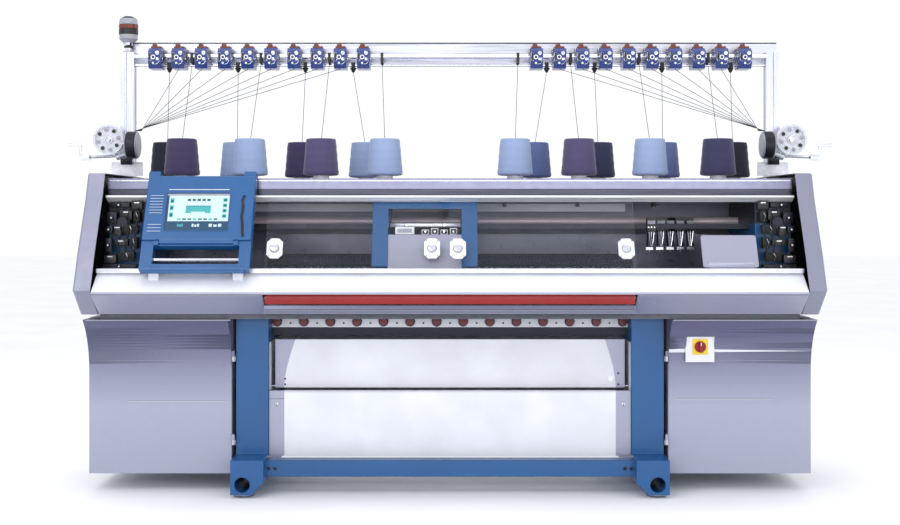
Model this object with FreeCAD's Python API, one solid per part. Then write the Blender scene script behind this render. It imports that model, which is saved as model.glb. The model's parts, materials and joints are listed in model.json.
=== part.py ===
"""Flat knitting machine with side cabinets, a bridge carriage and an overhead yarn beam.

Millimetres.  +X runs to the right along the needle beds, +Y goes back, +Z is up.
The origin is the middle of the footprint, at floor level.
"""
import FreeCAD, Part
import math
import os

V = FreeCAD.Vector

# ------------------------------------------------------------------ driving dimensions
# overall
BODY_WIDTH = 2926.0         # over the two end caps
DEPTH = 910.0               # front corner of the end caps to the rear cover
SHEET = 3.0                 # folded sheet covers
RUN_GAP = 0.3               # clearance between bodies that slide past each other
FIT = 0.05                  # radial clearance of a running fit

# floor frame
PAD_HEIGHT = 14.0
PAD_RADIUS = 40.0
STAND_INNER = 736.0         # inner face of a side stand, from the middle
STAND_WIDTH = 131.0
FOOT_SETBACK = 95.0         # front of the foot behind the front corner
FOOT_TOP = 150.0
FOOT_LENGTH = 720.0
FOOT_CHAMFER = 48.0
TRANSPORT_BORE = 60.0       # diameter of the lifting bar bore in each foot
BORE_RISE = 40.0            # bore axis above the foot's underside
BORE_IN_FOOT = 84.0         # bore axis from the stand's inner face
LEG_SETBACK = 240.0
LEG_DEPTH = 430.0
LEG_WALL = 10.0
BAR_SETBACK = 160.0
BAR_DEPTH = 60.0
BAR_BOTTOM = 74.0
BAR_HEIGHT = 66.0
BAR_WALL = 6.0
REAR_BAR_Y = 230.0

# machine bed and needle beds
BASE_BOTTOM = 705.0
BASE_THICKNESS = 40.0
BASE_SETBACK = 146.0
BASE_REAR_Y = 400.0
GAP_Y = -20.0               # the needle gap, where the fabric drops
GAP_HALF = 4.0
APEX_Z = 955.0
APEX_HALF = 25.0            # half of the distance between the two bed edges
BED_LENGTH = 1520.0
BED_SLOPE_LENGTH = 235.0
BED_THICKNESS = 35.0
PASSAGE_HALF = 60.0         # fabric passage under the needle gap
PASSAGE_LENGTH = 1500.0

# slope of the front covers
SLOPE_DEPTH = 21.0          # slope plane at SLOPE_Z, behind the front corner
SLOPE_Z = 868.0
SLOPE_ANGLE = 26.4          # lean back from upright, degrees

# end caps
CAP_THICKNESS = 70.0
CAP_WALL = 4.0
CAP_BOTTOM = 725.0
CAP_TOP = 1288.0

# ledge, apron and engaging bar
LEDGE_SHEET = 4.0
LEDGE_FRONT_Z = 822.0
LEDGE_BACK_Z = 891.0
LEDGE_BACK = 90.0
LEDGE_FLAT = 60.0
LIP_DROP = 10.0
APRON_GAP = 5.0
APRON_FOOT = 115.0
BAR_HALF_LENGTH = 720.0
BAR_AXIS_BACK = 62.0
BAR_AXIS_Z = 795.0
BAR_RADIUS = 42.0
BAR_HALF_ANGLE = 33.0
BAR_SHEET = 4.0
BAR_PIN_RADIUS = 6.0

# hoods
PANE = 5.0
RIGHT_PANE_DEPTH = 38.0
LEFT_PANE_DEPTH = 66.0
PANE_TOP = 376.0
LEFT_HOOD = (-735.0, -35.0)
RIGHT_HOOD = (-5.0, 735.0)
HANDLE_WIDTH = 63.0
HANDLE_HEIGHT = 87.0
HANDLE_PLATE = 6.0
KNOB_RADIUS = 15.0
KNOB_LENGTH = 11.0
TRACK_HEIGHT = 10.0
TRACK_OVERHANG = 18.0       # front of the track ahead of the ledge's upper corner
TRACK_RIB = 7.0             # height of the ribs between the panes

# carriage
CARRIAGE_LEFT = -313.0
CARRIAGE_RIGHT = 110.0
PILLAR_WIDTH = 63.0
CARRIAGE_DEPTH = 85.0       # carriage face behind the slope plane
CARRIAGE_TOP = 1214.0
ARCH_TOP = 1130.0
ARCH_FRONT_Y = -120.0
ARCH_REAR_Y = 85.0
PILLAR_REAR_Y = 165.0
CAM_CLEARANCE = 4.0
CAM_HEIGHT = 56.0
REAR_RAIL_Y = 125.0
REAR_RAIL_Z = 1092.0
REAR_RAIL_RADIUS = 19.0
FRONT_RAIL_Y = -278.0
FRONT_RAIL_Z = 800.0
FRONT_RAIL_RADIUS = 14.0
FRONT_RAIL_WEB = 8.0

# drive
PULLEY_RADIUS = 38.0
BELT_THICKNESS = 3.0
BELT_WIDTH = 20.0
BELT_FRONT_Y = 228.0
PULLEY_X = 1325.0
PULLEY_Z = 840.0
SHAFT_RADIUS = 9.0

# yarn carriers
CARRIERS = 5
CARRIER_PITCH = 45.0
FIRST_CARRIER_X = 835.0
RAIL_PITCH = 34.0
CARRIER_RAIL_WIDTH = 6.0
CARRIER_RAIL_HEIGHT = 20.0
CARRIER_RAIL_Z = 1062.0
NOZZLE_PITCH = 11.0
NOZZLE_Z = 963.0

# brackets at the ends
BRACKET_INNER = 1240.0
BRACKET_OUTER = 1385.0
BRACKET_FRONT_Y = -200.0
BRACKET_REAR_Y = 290.0
INNER_PANEL_Y = 262.0
INNER_PANEL_TOP = 1035.0

# take-down
ROLLER_RADIUS = 25.0
ROLLER_SPLIT = 26.0
ROLLER_Z = 790.0
ROLLER_HALF = 730.0
CHANNEL_FRONT_Y = -105.0
CHANNEL_DEPTH = 26.0
CHANNEL_HEIGHT = 50.0
CHANNEL_HALF = 735.0
SCREWS = 14
SCREW_PITCH = 110.0
SCREW_RADIUS = 19.0

# fabric bin
FLAP_FRONT_Y = -155.0
FLAP_BOTTOM = 412.0
FLAP_TOP = 609.0
FLAP_HALF = 716.0
FLAP_THICKNESS = 12.0
PANEL_FRONT_Y = -205.0
PANEL_BOTTOM = 141.0
PANEL_TOP = 405.0
BIN_REAR_Y = 170.0
BIN_TOP = 660.0

# cabinets and doors
CABINET_GAP = 17.0          # between a cabinet and the stand beside it
CABINET_BOTTOM = 74.0
CABINET_BACK = 5.0          # front of a cabinet behind the front of the legs
CABINET_REAR = 30.0         # back of a cabinet ahead of the rear cover
CABINET_WALL = 3.0
DOOR_TOP = 703.0
DOOR_SHEET = 4.0
DOOR_AXIS_AHEAD = 20.0      # hinge axis ahead of the legs
HINGE_RADIUS = 6.5
HINGE_PIN = 3.0
HINGE_HEIGHT = 40.0
HINGE_ZS = (528.0, 191.0)
SWITCH_X = 1008.0
SWITCH_Z = 588.0
SPINDLE_RADIUS = 5.0

# yarn shelf and cones
SHELF_SETBACK = 250.0
SHELF_TOP = 1268.0
SHELF_DEPTH = 600.0
FASCIA_BOTTOM = 1224.0
SHELF_SHEET = 4.0
FRONT_CONES = (273.0, 541.0, 839.0, 1124.0)
REAR_CONES = (372.0, 653.0, 938.0, 1246.0)
FRONT_CONE_BACK = 420.0
REAR_CONE_BACK = 700.0
CONE_HEIGHT = 155.0
CONE_BASE = 75.5
CONE_TOP = 63.0
CONE_RISE = 16.0

# posts, beam and lamp
POST_SIZE = 60.0
POST_GAP = 5.0              # post outside the end of the yarn shelf
POST_FRONT_Y = 245.0
POST_FOOT_Z = 1230.0
POST_TOP = 1838.0
BEAM_BOTTOM = 1795.0
BEAM_TOP = 1888.0
UNIT_SETBACK = 640.0
UNIT_DEPTH = 120.0
BEAM_DEPTH = 40.0
BEAM_SHEET = 4.0
UNITS = 10
UNIT_FIRST = 379.0
UNIT_PITCH = 101.3
UNIT_WIDTH = 55.0
LAMP_RADIUS = 42.0
LAMP_TOP = 1998.0

# terminal
TERMINAL_LEFT = -1210.0
TERMINAL_RIGHT = -780.0
TERMINAL_SEAM = 157.0       # rise of the seam between stand and housing
TERMINAL_LENGTH = 306.0
TERMINAL_FACE = -30.0
TERMINAL_BACK = 18.0
SCREEN = (-1126.0, -876.0)
SCREEN_RISE = (198.0, 362.0)
SCREEN_SINK = 2.0           # display behind the housing's face
SCREEN_THICKNESS = 4.0
STAND_RISE = 33.0           # lower edge of the terminal's stand
STAND_FACE = -20.0
STAND_BACK = 16.0
STAND_WINDOW = (58.0, 135.0)
STAND_RAIL = (79.0, 88.0)
HINGE_BELOW_SEAM = 10.0
HINGE_AXIS_DEPTH = -25.0
HINGE_BAR = 5.0
HINGE_STUB = 2.5

# ------------------------------------------------------------------ derived places
FRONT = -DEPTH / 2
REAR = DEPTH / 2
BODY_HALF = BODY_WIDTH / 2
CAP_INNER = BODY_HALF - CAP_THICKNESS
COVER_HALF = CAP_INNER - SHEET
STAND_OUTER = STAND_INNER + STAND_WIDTH
CABINET_INNER = STAND_OUTER + CABINET_GAP
LEG_FRONT_Y = FRONT + LEG_SETBACK
CABINET_FRONT_Y = LEG_FRONT_Y + CABINET_BACK
DOOR_AXIS_Y = LEG_FRONT_Y - DOOR_AXIS_AHEAD
CABINET_REAR_Y = REAR - CABINET_REAR
POST_INNER = COVER_HALF + POST_GAP
LAMP_X = -(POST_INNER + POST_SIZE / 2)
BASE_TOP = BASE_BOTTOM + BASE_THICKNESS
BED_HALF = BED_LENGTH / 2
SIN45 = math.sqrt(0.5)
SLOPE_COS = math.cos(math.radians(SLOPE_ANGLE))
SLOPE_SIN = math.sin(math.radians(SLOPE_ANGLE))
DOOR_AXIS_X = (STAND_OUTER + CABINET_INNER) / 2
HINGE_RISE = TERMINAL_SEAM - HINGE_BELOW_SEAM
TRACK_FRONT_Y = FRONT + LEDGE_BACK - TRACK_OVERHANG


def back(distance):
    """Y of a place that lies this far behind the front corner."""
    return FRONT + distance


# ------------------------------------------------------------------ building blocks
def block(x, y, z):
    """Box between pairs of limits."""
    return Part.makeBox(x[1] - x[0], y[1] - y[0], z[1] - z[0], V(x[0], y[0], z[0]))


def rod(start, end, radius):
    """Round bar between two points."""
    a, b = V(*start), V(*end)
    return Part.makeCylinder(radius, (b - a).Length, a, b - a)


def along_x(points, x0, x1):
    """Prism of a YZ outline between two X places."""
    ring = [V(x0, y, z) for y, z in points]
    face = Part.Face(Part.makePolygon(ring + ring[:1]))
    return face.extrude(V(x1 - x0, 0, 0))


def offset_line(points, distance):
    """Open line moved sideways to its left, with mitred corners."""
    normals = []
    for (a, b), (c, d) in zip(points, points[1:]):
        length = math.hypot(c - a, d - b)
        normals.append((-(d - b) / length, (c - a) / length))
    moved = []
    for i, (y, z) in enumerate(points):
        n1 = normals[max(i - 1, 0)]
        n2 = normals[min(i, len(normals) - 1)]
        scale = distance / (1 + n1[0] * n2[0] + n1[1] * n2[1])
        moved.append((y + (n1[0] + n2[0]) * scale, z + (n1[1] + n2[1]) * scale))
    return moved


def folded(points, thickness, x0, x1):
    """Folded sheet: a YZ line thickened to its left, along X."""
    return along_x(points + offset_line(points, thickness)[::-1], x0, x1)


def mirrored(shape):
    """The same shape on the other side of the machine."""
    return shape.mirror(V(0, 0, 0), V(1, 0, 0))


def both(shape):
    """A shape and its mirror image."""
    return [shape, mirrored(shape)]


def on_slope(shape):
    """Tilt an upright shape into the slope of the front covers.

    Before the tilt, local Z runs up the slope and local Y is the depth behind it.
    """
    moved = shape.copy()
    moved.rotate(V(0, 0, 0), V(1, 0, 0), -SLOPE_ANGLE)
    moved.translate(V(0, back(SLOPE_DEPTH), SLOPE_Z))
    return moved


def slope_point(depth, rise):
    """Y and Z of a place on the slope, from its depth and its rise."""
    y = back(SLOPE_DEPTH) + rise * SLOPE_SIN + depth * SLOPE_COS
    return y, SLOPE_Z + rise * SLOPE_COS - depth * SLOPE_SIN


def slope_at(depth, z):
    """Y of the plane at this depth behind the slope, at a height."""
    rise = (z - SLOPE_Z + depth * SLOPE_SIN) / SLOPE_COS
    return slope_point(depth, rise)[0]


def fuse(shapes):
    """One solid from touching or crossing shapes."""
    return shapes[0].fuse(shapes[1:]).removeSplitter()


def rounded(shape, radius, pick):
    """Fillet the edges that a test picks."""
    edges = [e for e in shape.Edges if pick(e)]
    return shape.makeFillet(radius, edges)


def parallel(edge, axis):
    """True for a straight edge along an axis, 0 for X, 1 for Y, 2 for Z."""
    if edge.Curve.TypeId != "Part::GeomLine":
        return False
    direction = edge.tangentAt(edge.FirstParameter)
    return abs(abs(direction[axis]) - 1) < 1e-6


NODES = {}


def add(name, *shapes):
    """Keep the solids of one node."""
    solids = []
    for shape in shapes:
        solids += shape.Solids
    NODES[name] = solids


# ------------------------------------------------------------------ floor frame
BORE_X = STAND_INNER + BORE_IN_FOOT


def side_stand():
    """Foot with a lifting bore, and a hollow leg on it, as one weldment."""
    foot_y = (back(FOOT_SETBACK), back(FOOT_SETBACK) + FOOT_LENGTH)
    c = FOOT_CHAMFER
    outline = [(STAND_INNER + c, PAD_HEIGHT), (STAND_OUTER, PAD_HEIGHT), (STAND_OUTER, FOOT_TOP),
               (STAND_INNER, FOOT_TOP), (STAND_INNER, PAD_HEIGHT + c)]
    ring = [V(x, foot_y[0], z) for x, z in outline]
    foot = Part.Face(Part.makePolygon(ring + ring[:1])).extrude(V(0, FOOT_LENGTH, 0))
    bore_z = PAD_HEIGHT + BORE_RISE
    foot = foot.cut(rod((BORE_X, foot_y[0] - 1, bore_z), (BORE_X, foot_y[1] + 1, bore_z),
                        TRANSPORT_BORE / 2))
    leg_y = (back(LEG_SETBACK), back(LEG_SETBACK) + LEG_DEPTH)
    leg = block((STAND_INNER, STAND_OUTER), leg_y, (FOOT_TOP - 1, BASE_BOTTOM))
    hollow = block((STAND_INNER + LEG_WALL, STAND_OUTER - LEG_WALL),
                   (leg_y[0] + LEG_WALL, leg_y[1] - LEG_WALL),
                   (FOOT_TOP + LEG_WALL, BASE_BOTTOM - LEG_WALL))
    return fuse([foot, leg]).cut(hollow)


def crossbar(y0):
    """Square tube between the two stands."""
    limits = (-STAND_INNER, STAND_INNER)
    tube = block(limits, (y0, y0 + BAR_DEPTH), (BAR_BOTTOM, BAR_BOTTOM + BAR_HEIGHT))
    return tube.cut(block(limits, (y0 + BAR_WALL, y0 + BAR_DEPTH - BAR_WALL),
                          (BAR_BOTTOM + BAR_WALL, BAR_BOTTOM + BAR_HEIGHT - BAR_WALL)))


def crossbar_bolts():
    """Socket screws on the front of the front crossbar, near its ends."""
    y = back(BAR_SETBACK)
    z = BAR_BOTTOM + BAR_HEIGHT / 2
    bolts = []
    for x in (STAND_INNER - 38, STAND_INNER - 12):
        head = rod((x, y - 5, z), (x, y, z), 6.5)
        head = head.cut(rod((x, y - 6, z), (x, y - 1.5, z), 3.5))
        bolts += both(head)
    return bolts


def levelling_feet():
    """Round pads under the four corners of the feet."""
    x = STAND_INNER + FOOT_CHAMFER + PAD_RADIUS
    pads = []
    for y in (back(FOOT_SETBACK) + 70, back(FOOT_SETBACK) + FOOT_LENGTH - 70):
        pad = Part.makeCone(PAD_RADIUS, PAD_RADIUS - 8, PAD_HEIGHT, V(x, y, 0))
        pads += both(pad)
    return pads


add("side_stands", *both(side_stand()))
add("crossbars", crossbar(back(BAR_SETBACK)), crossbar(REAR_BAR_Y), *crossbar_bolts())
add("levelling_feet", *levelling_feet())


# ------------------------------------------------------------------ machine bed
def bed_point(side, along, above):
    """A place on a needle bed: side -1 front or +1 rear, down its slope and out of it."""
    out = APEX_HALF + (along + above) * SIN45
    return GAP_Y + side * out, APEX_Z - along * SIN45 + above * SIN45


def needle_bed(side, clearance):
    """Thick plate lying in one flank of the roof, cut off upright at the needle gap."""
    nose = GAP_Y + side * GAP_HALF
    drop = APEX_HALF - GAP_HALF
    thickness = BED_THICKNESS - clearance
    low_y, low_z = bed_point(side, BED_SLOPE_LENGTH, -thickness)
    under = low_z + (abs(low_y - GAP_Y) - GAP_HALF)
    outline = [bed_point(side, 0, 0), bed_point(side, BED_SLOPE_LENGTH, 0), (low_y, low_z),
               (nose, under), (nose, APEX_Z - drop)]
    return along_x(outline, -BED_HALF, BED_HALF)


def bed_support(side):
    """Flank of the casting that carries one needle bed."""
    top_y, top_z = GAP_Y + side * PASSAGE_HALF, 0.0
    end_y, end_z = bed_point(side, BED_SLOPE_LENGTH, -BED_THICKNESS)
    top_z = end_z + abs(end_y - top_y)
    outline = [(top_y, BASE_TOP - 1), (top_y, top_z), (end_y, end_z), (end_y, BASE_TOP - 1)]
    return along_x(outline, -BED_HALF, BED_HALF)


def machine_bed():
    """Cast base with the two flanks and the fabric passage between them."""
    base = block((-CAP_INNER, CAP_INNER), (back(BASE_SETBACK), BASE_REAR_Y), (BASE_BOTTOM, BASE_TOP))
    passage = block((-PASSAGE_LENGTH / 2, PASSAGE_LENGTH / 2),
                    (GAP_Y - PASSAGE_HALF, GAP_Y + PASSAGE_HALF), (BASE_BOTTOM - 1, BASE_TOP + 1))
    return fuse([base.cut(passage), bed_support(-1), bed_support(1)])


add("machine_bed", machine_bed())
add("front_needle_bed", needle_bed(-1, 0.0))
add("rear_needle_bed", needle_bed(1, RUN_GAP))


# ------------------------------------------------------------------ end caps and front covers
CAP_OUTLINE = [(0.0, 826.0), (21.0, 868.0), (64.0, 966.0), (180.0, 1188.0), (220.0, CAP_TOP),
               (DEPTH - 20, CAP_TOP), (DEPTH, CAP_TOP - 20), (DEPTH, CAP_BOTTOM),
               (115.0, CAP_BOTTOM)]
POST_SLOT = 1.0             # clearance of a post in the cap's top


def end_cap():
    """Moulded side cover, open towards the machine, with a slot for the post."""
    points = [(back(y), z) for y, z in CAP_OUTLINE]
    body = along_x(points, CAP_INNER, BODY_HALF)
    body = rounded(body, 10.0, lambda e: abs(e.BoundBox.XMin - BODY_HALF) < 0.01)
    inner = offset_line([points[-1]] + points + points[:1], -CAP_WALL)[1:-1]
    body = body.cut(along_x(inner, CAP_INNER - 1, BODY_HALF - CAP_WALL))
    s = POST_SLOT
    return body.cut(block((POST_INNER - s, POST_INNER + POST_SIZE + s),
                          (POST_FRONT_Y - s, POST_FRONT_Y + POST_SIZE + s),
                          (CAP_TOP - CAP_WALL - 5, CAP_TOP + 5)))


def front_ledge():
    """White sheet shelf that slants up from its lip and turns down onto the base."""
    flat_end = LEDGE_BACK + LEDGE_FLAT
    line = [(back(0), LEDGE_FRONT_Z - LIP_DROP), (back(0), LEDGE_FRONT_Z),
            (back(LEDGE_BACK), LEDGE_BACK_Z), (back(flat_end), LEDGE_BACK_Z),
            (back(flat_end), BASE_TOP)]
    return folded(line, -LEDGE_SHEET, -COVER_HALF, COVER_HALF)


def apron_side():
    """Sheet below the ledge, receding to the base, beside the engaging bar."""
    line = [(back(2), LEDGE_FRONT_Z - LIP_DROP - APRON_GAP), (back(APRON_FOOT), BASE_BOTTOM + 22),
            (back(BASE_SETBACK), BASE_BOTTOM + 22)]
    return folded(line, SHEET, BAR_HALF_LENGTH + 7, COVER_HALF)


def apron_tray():
    """Stepped sheet under the engaging bar, with a bright front lip."""
    front = back(26)
    line = [(front + 12, BASE_BOTTOM + 62), (front + 8, BASE_BOTTOM + 47),
            (front, BASE_BOTTOM + 45), (front, BASE_BOTTOM + 30),
            (back(APRON_FOOT), BASE_BOTTOM + 22), (back(BASE_SETBACK), BASE_BOTTOM + 22)]
    half = BAR_HALF_LENGTH + 4
    return folded(line, SHEET, -half, half)


BAR_AXIS = (back(BAR_AXIS_BACK), BAR_AXIS_Z)


def bar_arc(radius, degrees):
    """A point at an angle from straight forward, about the engaging bar's axis."""
    a = math.radians(degrees)
    return V(0, BAR_AXIS[0] - radius * math.cos(a), BAR_AXIS[1] + radius * math.sin(a))


def engaging_bar():
    """Curved red grip along the front, with two end cheeks on pivot pins."""
    h = BAR_HALF_ANGLE
    outer, inner = BAR_RADIUS, BAR_RADIUS - BAR_SHEET
    edges = [Part.Arc(bar_arc(outer, -h), bar_arc(outer, 0), bar_arc(outer, h)).toShape(),
             Part.LineSegment(bar_arc(outer, h), bar_arc(inner, h)).toShape(),
             Part.Arc(bar_arc(inner, h), bar_arc(inner, 0), bar_arc(inner, -h)).toShape(),
             Part.LineSegment(bar_arc(inner, -h), bar_arc(outer, -h)).toShape()]
    half = BAR_HALF_LENGTH
    skin = Part.Face(Part.Wire(edges)).extrude(V(2 * half, 0, 0))
    skin.translate(V(-half, 0, 0))
    parts = [skin]
    edge = [Part.Arc(bar_arc(outer - 1, -h), bar_arc(outer - 1, 0), bar_arc(outer - 1, h)).toShape(),
            Part.LineSegment(bar_arc(outer - 1, h), bar_arc(10, 180 - h)).toShape(),
            Part.LineSegment(bar_arc(10, 180 - h), bar_arc(10, 180 + h)).toShape(),
            Part.LineSegment(bar_arc(10, 180 + h), bar_arc(outer - 1, -h)).toShape()]
    for x in (-half, half - BAR_SHEET):
        cheek = Part.Face(Part.Wire(edge)).extrude(V(BAR_SHEET, 0, 0))
        cheek.translate(V(x, 0, 0))
        parts.append(cheek)
    for side in (-1, 1):
        parts.append(rod((side * (half - 2), *BAR_AXIS), (side * (half + 17), *BAR_AXIS),
                         BAR_PIN_RADIUS))
    return fuse(parts)


def bar_pivot():
    """Bearing plate for one pin of the engaging bar, fixed to the front of the base."""
    y, z = BAR_AXIS
    x0 = BAR_HALF_LENGTH + 9
    foot_z = BASE_BOTTOM + 22 + SHEET + 1
    outline = [(y - 12, z - 12), (y - 12, z + 12), (y + 12, z + 12), (back(BASE_SETBACK), BASE_TOP),
               (back(BASE_SETBACK), foot_z), (back(BASE_SETBACK) - 30, foot_z)]
    plate = along_x(outline, x0, x0 + 8)
    return plate.cut(rod((x0 - 1, y, z), (x0 + 9, y, z), BAR_PIN_RADIUS + FIT))


add("end_caps", *both(end_cap()))
add("front_ledge", front_ledge())
add("front_apron", apron_tray(), *both(apron_side()))
add("engaging_bar", engaging_bar())


# ------------------------------------------------------------------ sliding hoods
TRACK_BASE = LEDGE_BACK_Z
PANE_FOOT = TRACK_BASE + TRACK_HEIGHT + 0.8


def hood(span, depth):
    """Clear sliding pane in the slope of the covers."""
    low = (PANE_FOOT - SLOPE_Z + (depth + PANE) * SLOPE_SIN) / SLOPE_COS
    pane = block(span, (depth, depth + PANE), (low, PANE_TOP))
    return on_slope(rounded(pane, 6.0, lambda e: parallel(e, 1)))


def hood_handle(x, depth, rise):
    """Eight-sided plate with a round knob, screwed to a pane."""
    w, h, c = HANDLE_WIDTH / 2, HANDLE_HEIGHT / 2, HANDLE_WIDTH / 4
    corners = [(-w, -h + c), (-w + c, -h), (w - c, -h), (w, -h + c),
               (w, h - c), (w - c, h), (-w + c, h), (-w, h - c)]
    ring = [V(x + a, depth - HANDLE_PLATE, rise + b) for a, b in corners]
    plate = Part.Face(Part.makePolygon(ring + ring[:1])).extrude(V(0, HANDLE_PLATE, 0))
    knob = rod((x, depth - HANDLE_PLATE, rise), (x, depth - HANDLE_PLATE - KNOB_LENGTH, rise),
               KNOB_RADIUS)
    knob = rounded(knob, 3.0, lambda e: abs(e.BoundBox.YMax - depth + HANDLE_PLATE + KNOB_LENGTH) < 0.01)
    return on_slope(fuse([plate, knob]))


def hood_handles(span, depth):
    """A handle near each end of a hood."""
    rise = (984 - SLOPE_Z + depth * SLOPE_SIN) / SLOPE_COS
    inset = HANDLE_WIDTH / 2 + 5
    return [hood_handle(span[0] + inset, depth, rise), hood_handle(span[1] - inset, depth, rise)]


def lower_track():
    """Three-ribbed rail on the ledge; a pane runs in each groove."""
    front, end = LEDGE_BACK - TRACK_OVERHANG, LEDGE_BACK + LEDGE_FLAT - 2
    z = TRACK_BASE
    parts = [block((-COVER_HALF, COVER_HALF), (back(front), back(end)), (z, z + TRACK_HEIGHT))]
    for y0, y1 in ((front, front + 5), (front + 20, front + 35), (front + 51, front + 58)):
        parts.append(block((-COVER_HALF, COVER_HALF), (back(y0), back(y1)),
                           (z, z + TRACK_HEIGHT + TRACK_RIB)))
    return fuse(parts)


def upper_track():
    """Rail above the panes, hung from the fascia of the yarn shelf."""
    rail = [slope_point(d, r) for d, r in ((RIGHT_PANE_DEPTH - 5, PANE_TOP + 1),
                                           (LEFT_PANE_DEPTH + PANE + 5, PANE_TOP + 1),
                                           (LEFT_PANE_DEPTH + PANE + 5, PANE_TOP + 11),
                                           (RIGHT_PANE_DEPTH - 5, PANE_TOP + 11))]
    web_y = back(SHELF_SETBACK)
    web = block((-COVER_HALF, COVER_HALF), (web_y, web_y + SHELF_SHEET), (1182, FASCIA_BOTTOM))
    return fuse([along_x(rail, -COVER_HALF, COVER_HALF), web])


add("left_hood", hood(LEFT_HOOD, LEFT_PANE_DEPTH), *hood_handles(LEFT_HOOD, LEFT_PANE_DEPTH))
add("right_hood", hood(RIGHT_HOOD, RIGHT_PANE_DEPTH), *hood_handles(RIGHT_HOOD, RIGHT_PANE_DEPTH))
add("hood_tracks", lower_track(), upper_track())


# ------------------------------------------------------------------ rails and end brackets
TUBE_Y = 205.0
TUBE_Z = 1192.0
TUBE_RADIUS = 15.0
BAND_Z = (1134.0, 1168.0)
BAND_RIGHT = 766.0
CLIP_PLACES = (238.0, 557.0, 890.0)
BRACKET_TOP = SHELF_TOP - SHELF_SHEET
BRACKET_PLATE = 30.0


def carrier_rail_y(index):
    """Y of one yarn carrier rail."""
    return GAP_Y + (index - (CARRIERS - 1) / 2) * RAIL_PITCH


def front_rail():
    """Round guide bar of the carriage on a web that stands on the base."""
    y, z = FRONT_RAIL_Y, FRONT_RAIL_Z
    w = FRONT_RAIL_WEB / 2
    span = (-COVER_HALF, COVER_HALF)
    web = block(span, (y - w, y + w), (BASE_TOP, z))
    bar = rod((span[0], y, z), (span[1], y, z), FRONT_RAIL_RADIUS)
    return fuse([web, bar])


def rear_rail():
    """Round guide bar of the carriage between the end brackets."""
    return rod((-BRACKET_INNER, REAR_RAIL_Y, REAR_RAIL_Z), (BRACKET_INNER, REAR_RAIL_Y, REAR_RAIL_Z),
               REAR_RAIL_RADIUS)


def carrier_rails():
    """Flat bars that the yarn carriers slide along."""
    w = CARRIER_RAIL_WIDTH / 2
    bars = []
    for i in range(CARRIERS):
        y = carrier_rail_y(i)
        bars.append(block((-BRACKET_INNER, BRACKET_INNER), (y - w, y + w),
                          (CARRIER_RAIL_Z, CARRIER_RAIL_Z + CARRIER_RAIL_HEIGHT)))
    return bars


def yarn_tube():
    """White tube across the back of the knitting space."""
    return rod((-BRACKET_INNER, TUBE_Y, TUBE_Z), (BRACKET_INNER, TUBE_Y, TUBE_Z), TUBE_RADIUS)


def yarn_band():
    """Flat bright band below the tube, fixed to the left bracket."""
    return block((-BRACKET_INNER, BAND_RIGHT), (TUBE_Y - 3, TUBE_Y + 3), BAND_Z)


def yarn_clip(x):
    """Black clip that hangs from the tube and grips the band."""
    body = block((x - 7, x + 7), (TUBE_Y - 22, TUBE_Y + 22), (BAND_Z[1] - 14, TUBE_Z + 4))
    body = body.cut(rod((x - 8, TUBE_Y, TUBE_Z), (x + 8, TUBE_Y, TUBE_Z), TUBE_RADIUS))
    body = body.cut(block((x - 8, x + 8), (TUBE_Y - 3, TUBE_Y + 3), (BAND_Z[0], BAND_Z[1])))
    eye = rod((x, TUBE_Y - 36, BAND_Z[1]), (x, TUBE_Y - 22, BAND_Z[1]), 5.0)
    return fuse([body, eye])


def end_bracket():
    """Cast blue end frame: it carries every rail, the shelf and the foot of a post."""
    y0, y1 = BRACKET_FRONT_Y, BRACKET_REAR_Y
    outline = [(y0, BASE_TOP), (y0, 1150.0), (y0 + 25, BRACKET_TOP), (y1, BRACKET_TOP), (y1, BASE_TOP)]
    plate = along_x(outline, BRACKET_INNER, BRACKET_INNER + BRACKET_PLATE)
    web = block((BRACKET_INNER, BRACKET_OUTER), (y1 - 25, y1), (BASE_TOP, BRACKET_TOP))
    front_web = block((BRACKET_INNER, BRACKET_OUTER), (y0, y0 + 25), (BASE_TOP, 1150))
    ear = block((BRACKET_INNER, POST_INNER + POST_SIZE), (POST_FRONT_Y, POST_FRONT_Y + POST_SIZE - 15),
                (POST_FOOT_Z - 40, POST_FOOT_Z))
    return fuse([plate, web, front_web, ear])


def with_shaft_hole(shape):
    """Clear the way of the belt and of both belt wheels' shafts through an end bracket."""
    reach = PULLEY_RADIUS + BELT_THICKNESS + 9
    shape = shape.cut(block((-PULLEY_X, PULLEY_X), (BELT_FRONT_Y - 10, BELT_FRONT_Y + BELT_WIDTH + 6),
                            (PULLEY_Z - reach, PULLEY_Z + reach)))
    for x in (-PULLEY_X, PULLEY_X):
        shape = shape.cut(rod((x, BRACKET_REAR_Y - 26, PULLEY_Z), (x, BRACKET_REAR_Y + 1, PULLEY_Z),
                              SHAFT_RADIUS + 4))
    return shape


def inner_panel():
    """Light panel behind the rear needle bed."""
    line = [(INNER_PANEL_Y, BASE_TOP), (INNER_PANEL_Y, INNER_PANEL_TOP),
            (INNER_PANEL_Y + 22, INNER_PANEL_TOP)]
    return folded(line, -SHEET, -BRACKET_INNER, BRACKET_INNER)


def side_cover():
    """Grey cover plate in front of the right end of the rails, on a foot on the ledge."""
    low_z = TRACK_BASE + TRACK_HEIGHT + TRACK_RIB
    low = (low_z + 4 - SLOPE_Z + 52 * SLOPE_SIN) / SLOPE_COS
    face = block((1000, 1220), (50, 54), (low, 215))
    face = on_slope(rounded(face, 10.0, lambda e: parallel(e, 1)))
    foot_y = slope_at(52, low_z + 12)
    foot = block((1020, 1200), (foot_y - 3, foot_y + 3), (low_z, low_z + 24))
    return fuse([face, foot])


add("rail_brackets", *[with_shaft_hole(shape) for shape in both(end_bracket())])
add("guide_rails", front_rail(), rear_rail(), *carrier_rails())
add("yarn_rail", yarn_tube(), yarn_band())
add("inner_covers", inner_panel(), side_cover())


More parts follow.
